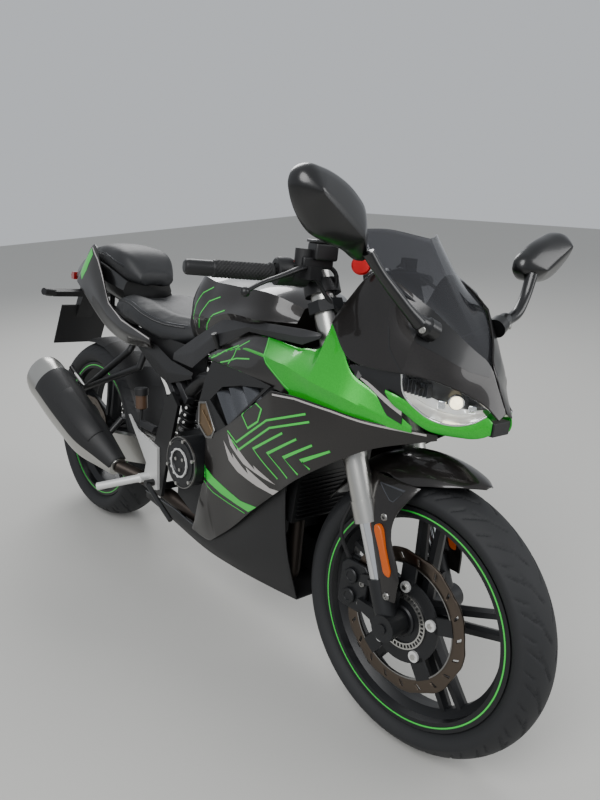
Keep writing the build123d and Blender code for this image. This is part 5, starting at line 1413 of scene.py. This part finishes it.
# %% A node tree that repeats a body along a curve
def line_tree(name, shapes):
    """Shapes are (kind, size, place, turn), joined and put at equal steps along the curve, X along it."""
    tree, given = new_tree(name, {"Line": "Geometry", "Count": "Int", "Finish": "Material"})
    steps = node(tree, "GeometryNodeCurveToPoints",
                 {"Curve": given.outputs["Line"], "Count": given.outputs["Count"]})
    along = node(tree, "FunctionNodeAlignRotationToVector", {"Vector": steps.outputs["Tangent"]},
                 {"axis": "X"})
    whole = node(tree, "GeometryNodeJoinGeometry")
    for kind, size, place, turn in shapes:
        if kind == "rod":
            body = node(tree, "GeometryNodeMeshCylinder", Vertices=10, Radius=size[0], Depth=size[1])
        else:
            body = node(tree, "GeometryNodeMeshCube", Size=size)
        put = node(tree, "GeometryNodeTransform", {"Geometry": body.outputs[0]}, Translation=place,
                   Rotation=turn)
        tree.links.new(put.outputs[0], whole.inputs[0])
    return end_tree(tree, given, steps.outputs["Points"], whole.outputs[0], along.outputs[0])


def along_line(name, tree, points, count, material, closed=False):
    """One use of a line tree on the chassis; the points are of the upright machine."""
    line = bpy.data.curves.new(name, "CURVE")
    line.dimensions = "3D"
    spline = line.splines.new("POLY")
    spline.points.add(len(points) - 1)
    spline.use_cyclic_u = closed
    for p, q in zip(spline.points, parked(points)):
        p.co = (*q, 1)
    holder = placed(name + "_line", line)
    mesh = grown(holder, tree, {"Count": count, "Finish": material})
    bpy.data.objects.remove(holder)
    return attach(placed(name, mesh), "chassis")


QUARTER, STRAIGHT = (math.pi / 2, 0, 0), (0, 0, 0)
LINK_PLATE = (0.0150, 0.0016, 0.0086)
LINKS = line_tree("chain link", [("cube", LINK_PLATE, (0, 0.0058, 0), STRAIGHT),
                                 ("cube", LINK_PLATE, (0, -0.0058, 0), STRAIGHT),
                                 ("rod", (0.0050, 0.0090), (0, 0, 0), QUARTER),
                                 ("rod", (0.0024, 0.0150), (0, 0, 0), QUARTER)])
STITCH = line_tree("stitch", [("rod", (0.0006, 0.0034), (0, 0, 0), (0, math.pi / 2, 0))])
print("line trees for a chain and a seam")

# %% [markdown]
# The chain runs round two toothed wheels, so its line is two arcs joined by two straight runs, and the
# number of links follows from its length. The rear shock absorber is a damper turned on a lathe, with
# a coil spring round it. The spring is a bar along a helix.

# %% Chain, spring and damper
DRIVE, PITCH, CHAIN_Y = np.array([618, 0, 384]), 15.875, 86
BIG, SMALL = (PITCH / 2 / math.sin(math.pi / teeth) for teeth in (40, 15))
heading = math.atan2(DRIVE[2] - REAR_R, DRIVE[0])
spread = math.acos((BIG - SMALL) / math.hypot(DRIVE[2] - REAR_R, DRIVE[0]))
loop = [(x + r * math.cos(a), CHAIN_Y, z + r * math.sin(a))
        for x, z, r, first, last, count in (
            (DRIVE[0], DRIVE[2], SMALL, heading - spread, heading + spread, 24),
            (0, REAR_R, BIG, heading + spread, heading + math.tau - spread, 60))
        for a in np.linspace(first, last, count)]
length = sum(math.dist(a, b) for a, b in zip(loop, loop[1:] + loop[:1]))
chain = along_line("chain_links", LINKS, loop, round(length / PITCH), STEEL, closed=True)
stands_for(chain, "drive_chain")
foot, top = np.array((464, 0, 378)), np.array((525, 0, 655))
axis, leftward = (top - foot) / np.linalg.norm(top - foot), np.array((0, 1, 0))
forward = np.cross(axis, leftward)
coils = 7
helix = [foot + axis * (54 + 168 * t) + 27 * (forward * math.cos(math.tau * coils * t)
                                              + leftward * math.sin(math.tau * coils * t))
         for t in np.linspace(0, 1, 113)]
spring = swept("spring", helix, 5.4, SATIN_BLACK, sides=12, steps=2)
stands_for(spring, "rear_shock")
DAMPER = [(0, 12), (18, 12), (18, 17), (24, 26), (46, 30), (52, 30), (52, 15), (150, 15), (150, 9), (222, 9),
          (222, 30), (232, 30), (236, 20), (236, 12), (270, 12)]
lathe("damper", foot, axis, DAMPER, SATIN_BLACK, sides=40)
print(round(length / PITCH), "chain links, spring and damper")

# %% [markdown]
# A seat cover is sewn from panels of vinyl: a corded welt runs along the seam between the top and the
# side, with a row of stitches beside it. Both follow the cushion's surface, which was blown up before.

# %% Welts and stitches of the seats
def on_cushion(cushion, points, lift):
    """Upright points moved onto a cushion's surface, a little proud of it."""
    mesh = cushion.data
    tree = BVHTree.FromPolygons([v.co for v in mesh.vertices], [tuple(f.vertices) for f in mesh.polygons])
    out = []
    for p in parked(points):
        hit, normal, _, _ = tree.find_nearest(Vector(p))
        out.append(np.array(hit + normal * lift / 1000) * 1000 + ORIGIN)
    return np.array(out) @ TILT


for cushion, table, name, count in ((rider, RIDER, "rider", 110), (pillion, PILLION, "pillion", 80)):
    for side, word in SIDES:
        welt = through([(x, side * half[3][0], half[3][1] + 4) for x, half in table[:-1]], 12)
        swept(f"welt_{name}_{word}", on_cushion(cushion, welt, 0.4), 1.9, VINYL_DARK, sides=8, steps=1)
        seam = welt + np.array((0, -side * 9, 6))
        along_line(f"stitches_{name}_{word}", STITCH, on_cushion(cushion, seam, 0.3), count, GREY_PAINT)
print("seams done")

# %% [markdown]
# Between the seat and the swingarm a sport bike is closed by dark inner panels with recessed windows.
# They are flat mouldings close to the rear frame, so plates with eased edges stand for them. The plain
# curved lines on the tank are films, and the dash is a leaning block with a flat dark glass.

# %% Inner covers, dash and tank lines
INNER_COVER = [(700, 704), (690, 640), (636, 556), (574, 552), (520, 600), (430, 660), (318, 690),
               (318, 712), (560, 712)]
# Plates on the covers, as (name, outline, inner and outer distance from the middle)
RIBS = [("cover_rib_{}_low", [(574, 556), (600, 556), (520, 640), (486, 640)], 100, 118),
        ("cover_rib_{}_mid", [(612, 590), (640, 560), (652, 580), (566, 654), (548, 640)], 100, 124),
        ("frame_box_{}", [(452, 470), (452, 452), (520, 452), (532, 471)], 134, 150)]
TANK_LINES = [[(652, 790), (664, 830), (690, 862), (724, 880)],
              [(676, 772), (694, 812), (726, 846), (770, 862)],
              [(706, 762), (724, 790), (760, 818), (810, 836)]]
DASH_WAY = ((0.94, 0, 0.34), (0, 1, 0), (-0.34, 0, 0.94))
for side, word in SIDES:
    plate(f"inner_cover_{word}", INNER_COVER, side * 96, side * 100, MATT_BLACK)
    for name, outline, near, far in RIBS:
        plate(name.format(word), outline, side * near, side * far, DARK_GREY, rim=2)
    for k, line in enumerate(TANK_LINES):
        film(f"tank_line_{word}_{k}", tank, band(line, 3), side, GREEN_FILM)
dash = block("dash", (1203, 0, 934), (26, 156, 76), MATT_BLACK, axes=DASH_WAY, rim=8)
stands_for(dash, "instruments")
block("dash_glass", (1190, 0, 929.5), (2, 128, 56), SMOKE, axes=DASH_WAY, rim=0.8)
print("covers and dash done")

# %% [markdown]
# The picture is taken from the front right quarter, a little above the bars, with a short lens.
# A pale floor and large soft lights show the paint without hard shadows.

# %% Camera, floor and light
FOCAL_PIXELS, PICTURE_HIGH, SENSOR_MM = 688.8, 800, 36
camera_data = bpy.data.cameras.new("photo view")
camera_data.sensor_fit, camera_data.sensor_height = "VERTICAL", SENSOR_MM
camera_data.lens = FOCAL_PIXELS / PICTURE_HIGH * SENSOR_MM
camera = placed("photo view", camera_data)
TURNS = ((49.51, "Z"), (-19.96, "X"), (1.48, "Y"))
heading, pitch, roll = [Matrix.Rotation(math.radians(angle), 3, axis) for angle, axis in TURNS]
right_way, view_way, up_way = (heading @ pitch @ roll).col
camera.matrix_world = Matrix((right_way, up_way, -view_way)).transposed().to_4x4()
camera.matrix_world.translation = (1.4525, -1.0806, 1.1986)
bpy.context.scene.camera = camera
floor_mesh = bpy.data.meshes.new("floor")
floor_mesh.from_pydata([(-9, -9, 0), (9, -9, 0), (9, 9, 0), (-9, 9, 0)], [], [(0, 1, 2, 3)])
floor_mesh.materials.append(finish("pale concrete", "b9b8b4", 0.8))
floor = placed("floor", floor_mesh)
floor.location.z = CAD_BOX[0][2] - 0.0005
world = bpy.data.worlds.new("soft studio")
bpy.context.scene.world = world
world.use_nodes = True
sky = world.node_tree.nodes["Background"]
sky.inputs["Color"].default_value, sky.inputs["Strength"].default_value = rgb("dfe3e8"), 0.75
for name, place, size, power in (("key", (1.6, -2.6, 3.4), 2.6, 130), ("fill", (3.2, 1.8, 2.2), 2.4, 55),
                                 ("back", (-2.6, 1.4, 2.8), 2.2, 80)):
    data = bpy.data.lights.new(name, "AREA")
    data.shape, data.size, data.energy = "DISK", size, power
    lamp = placed(name, data)
    lamp.location = place
    lamp.rotation_euler = (Vector((0, 0, 0.5)) - Vector(place)).to_track_quat("-Z", "Y").to_euler()
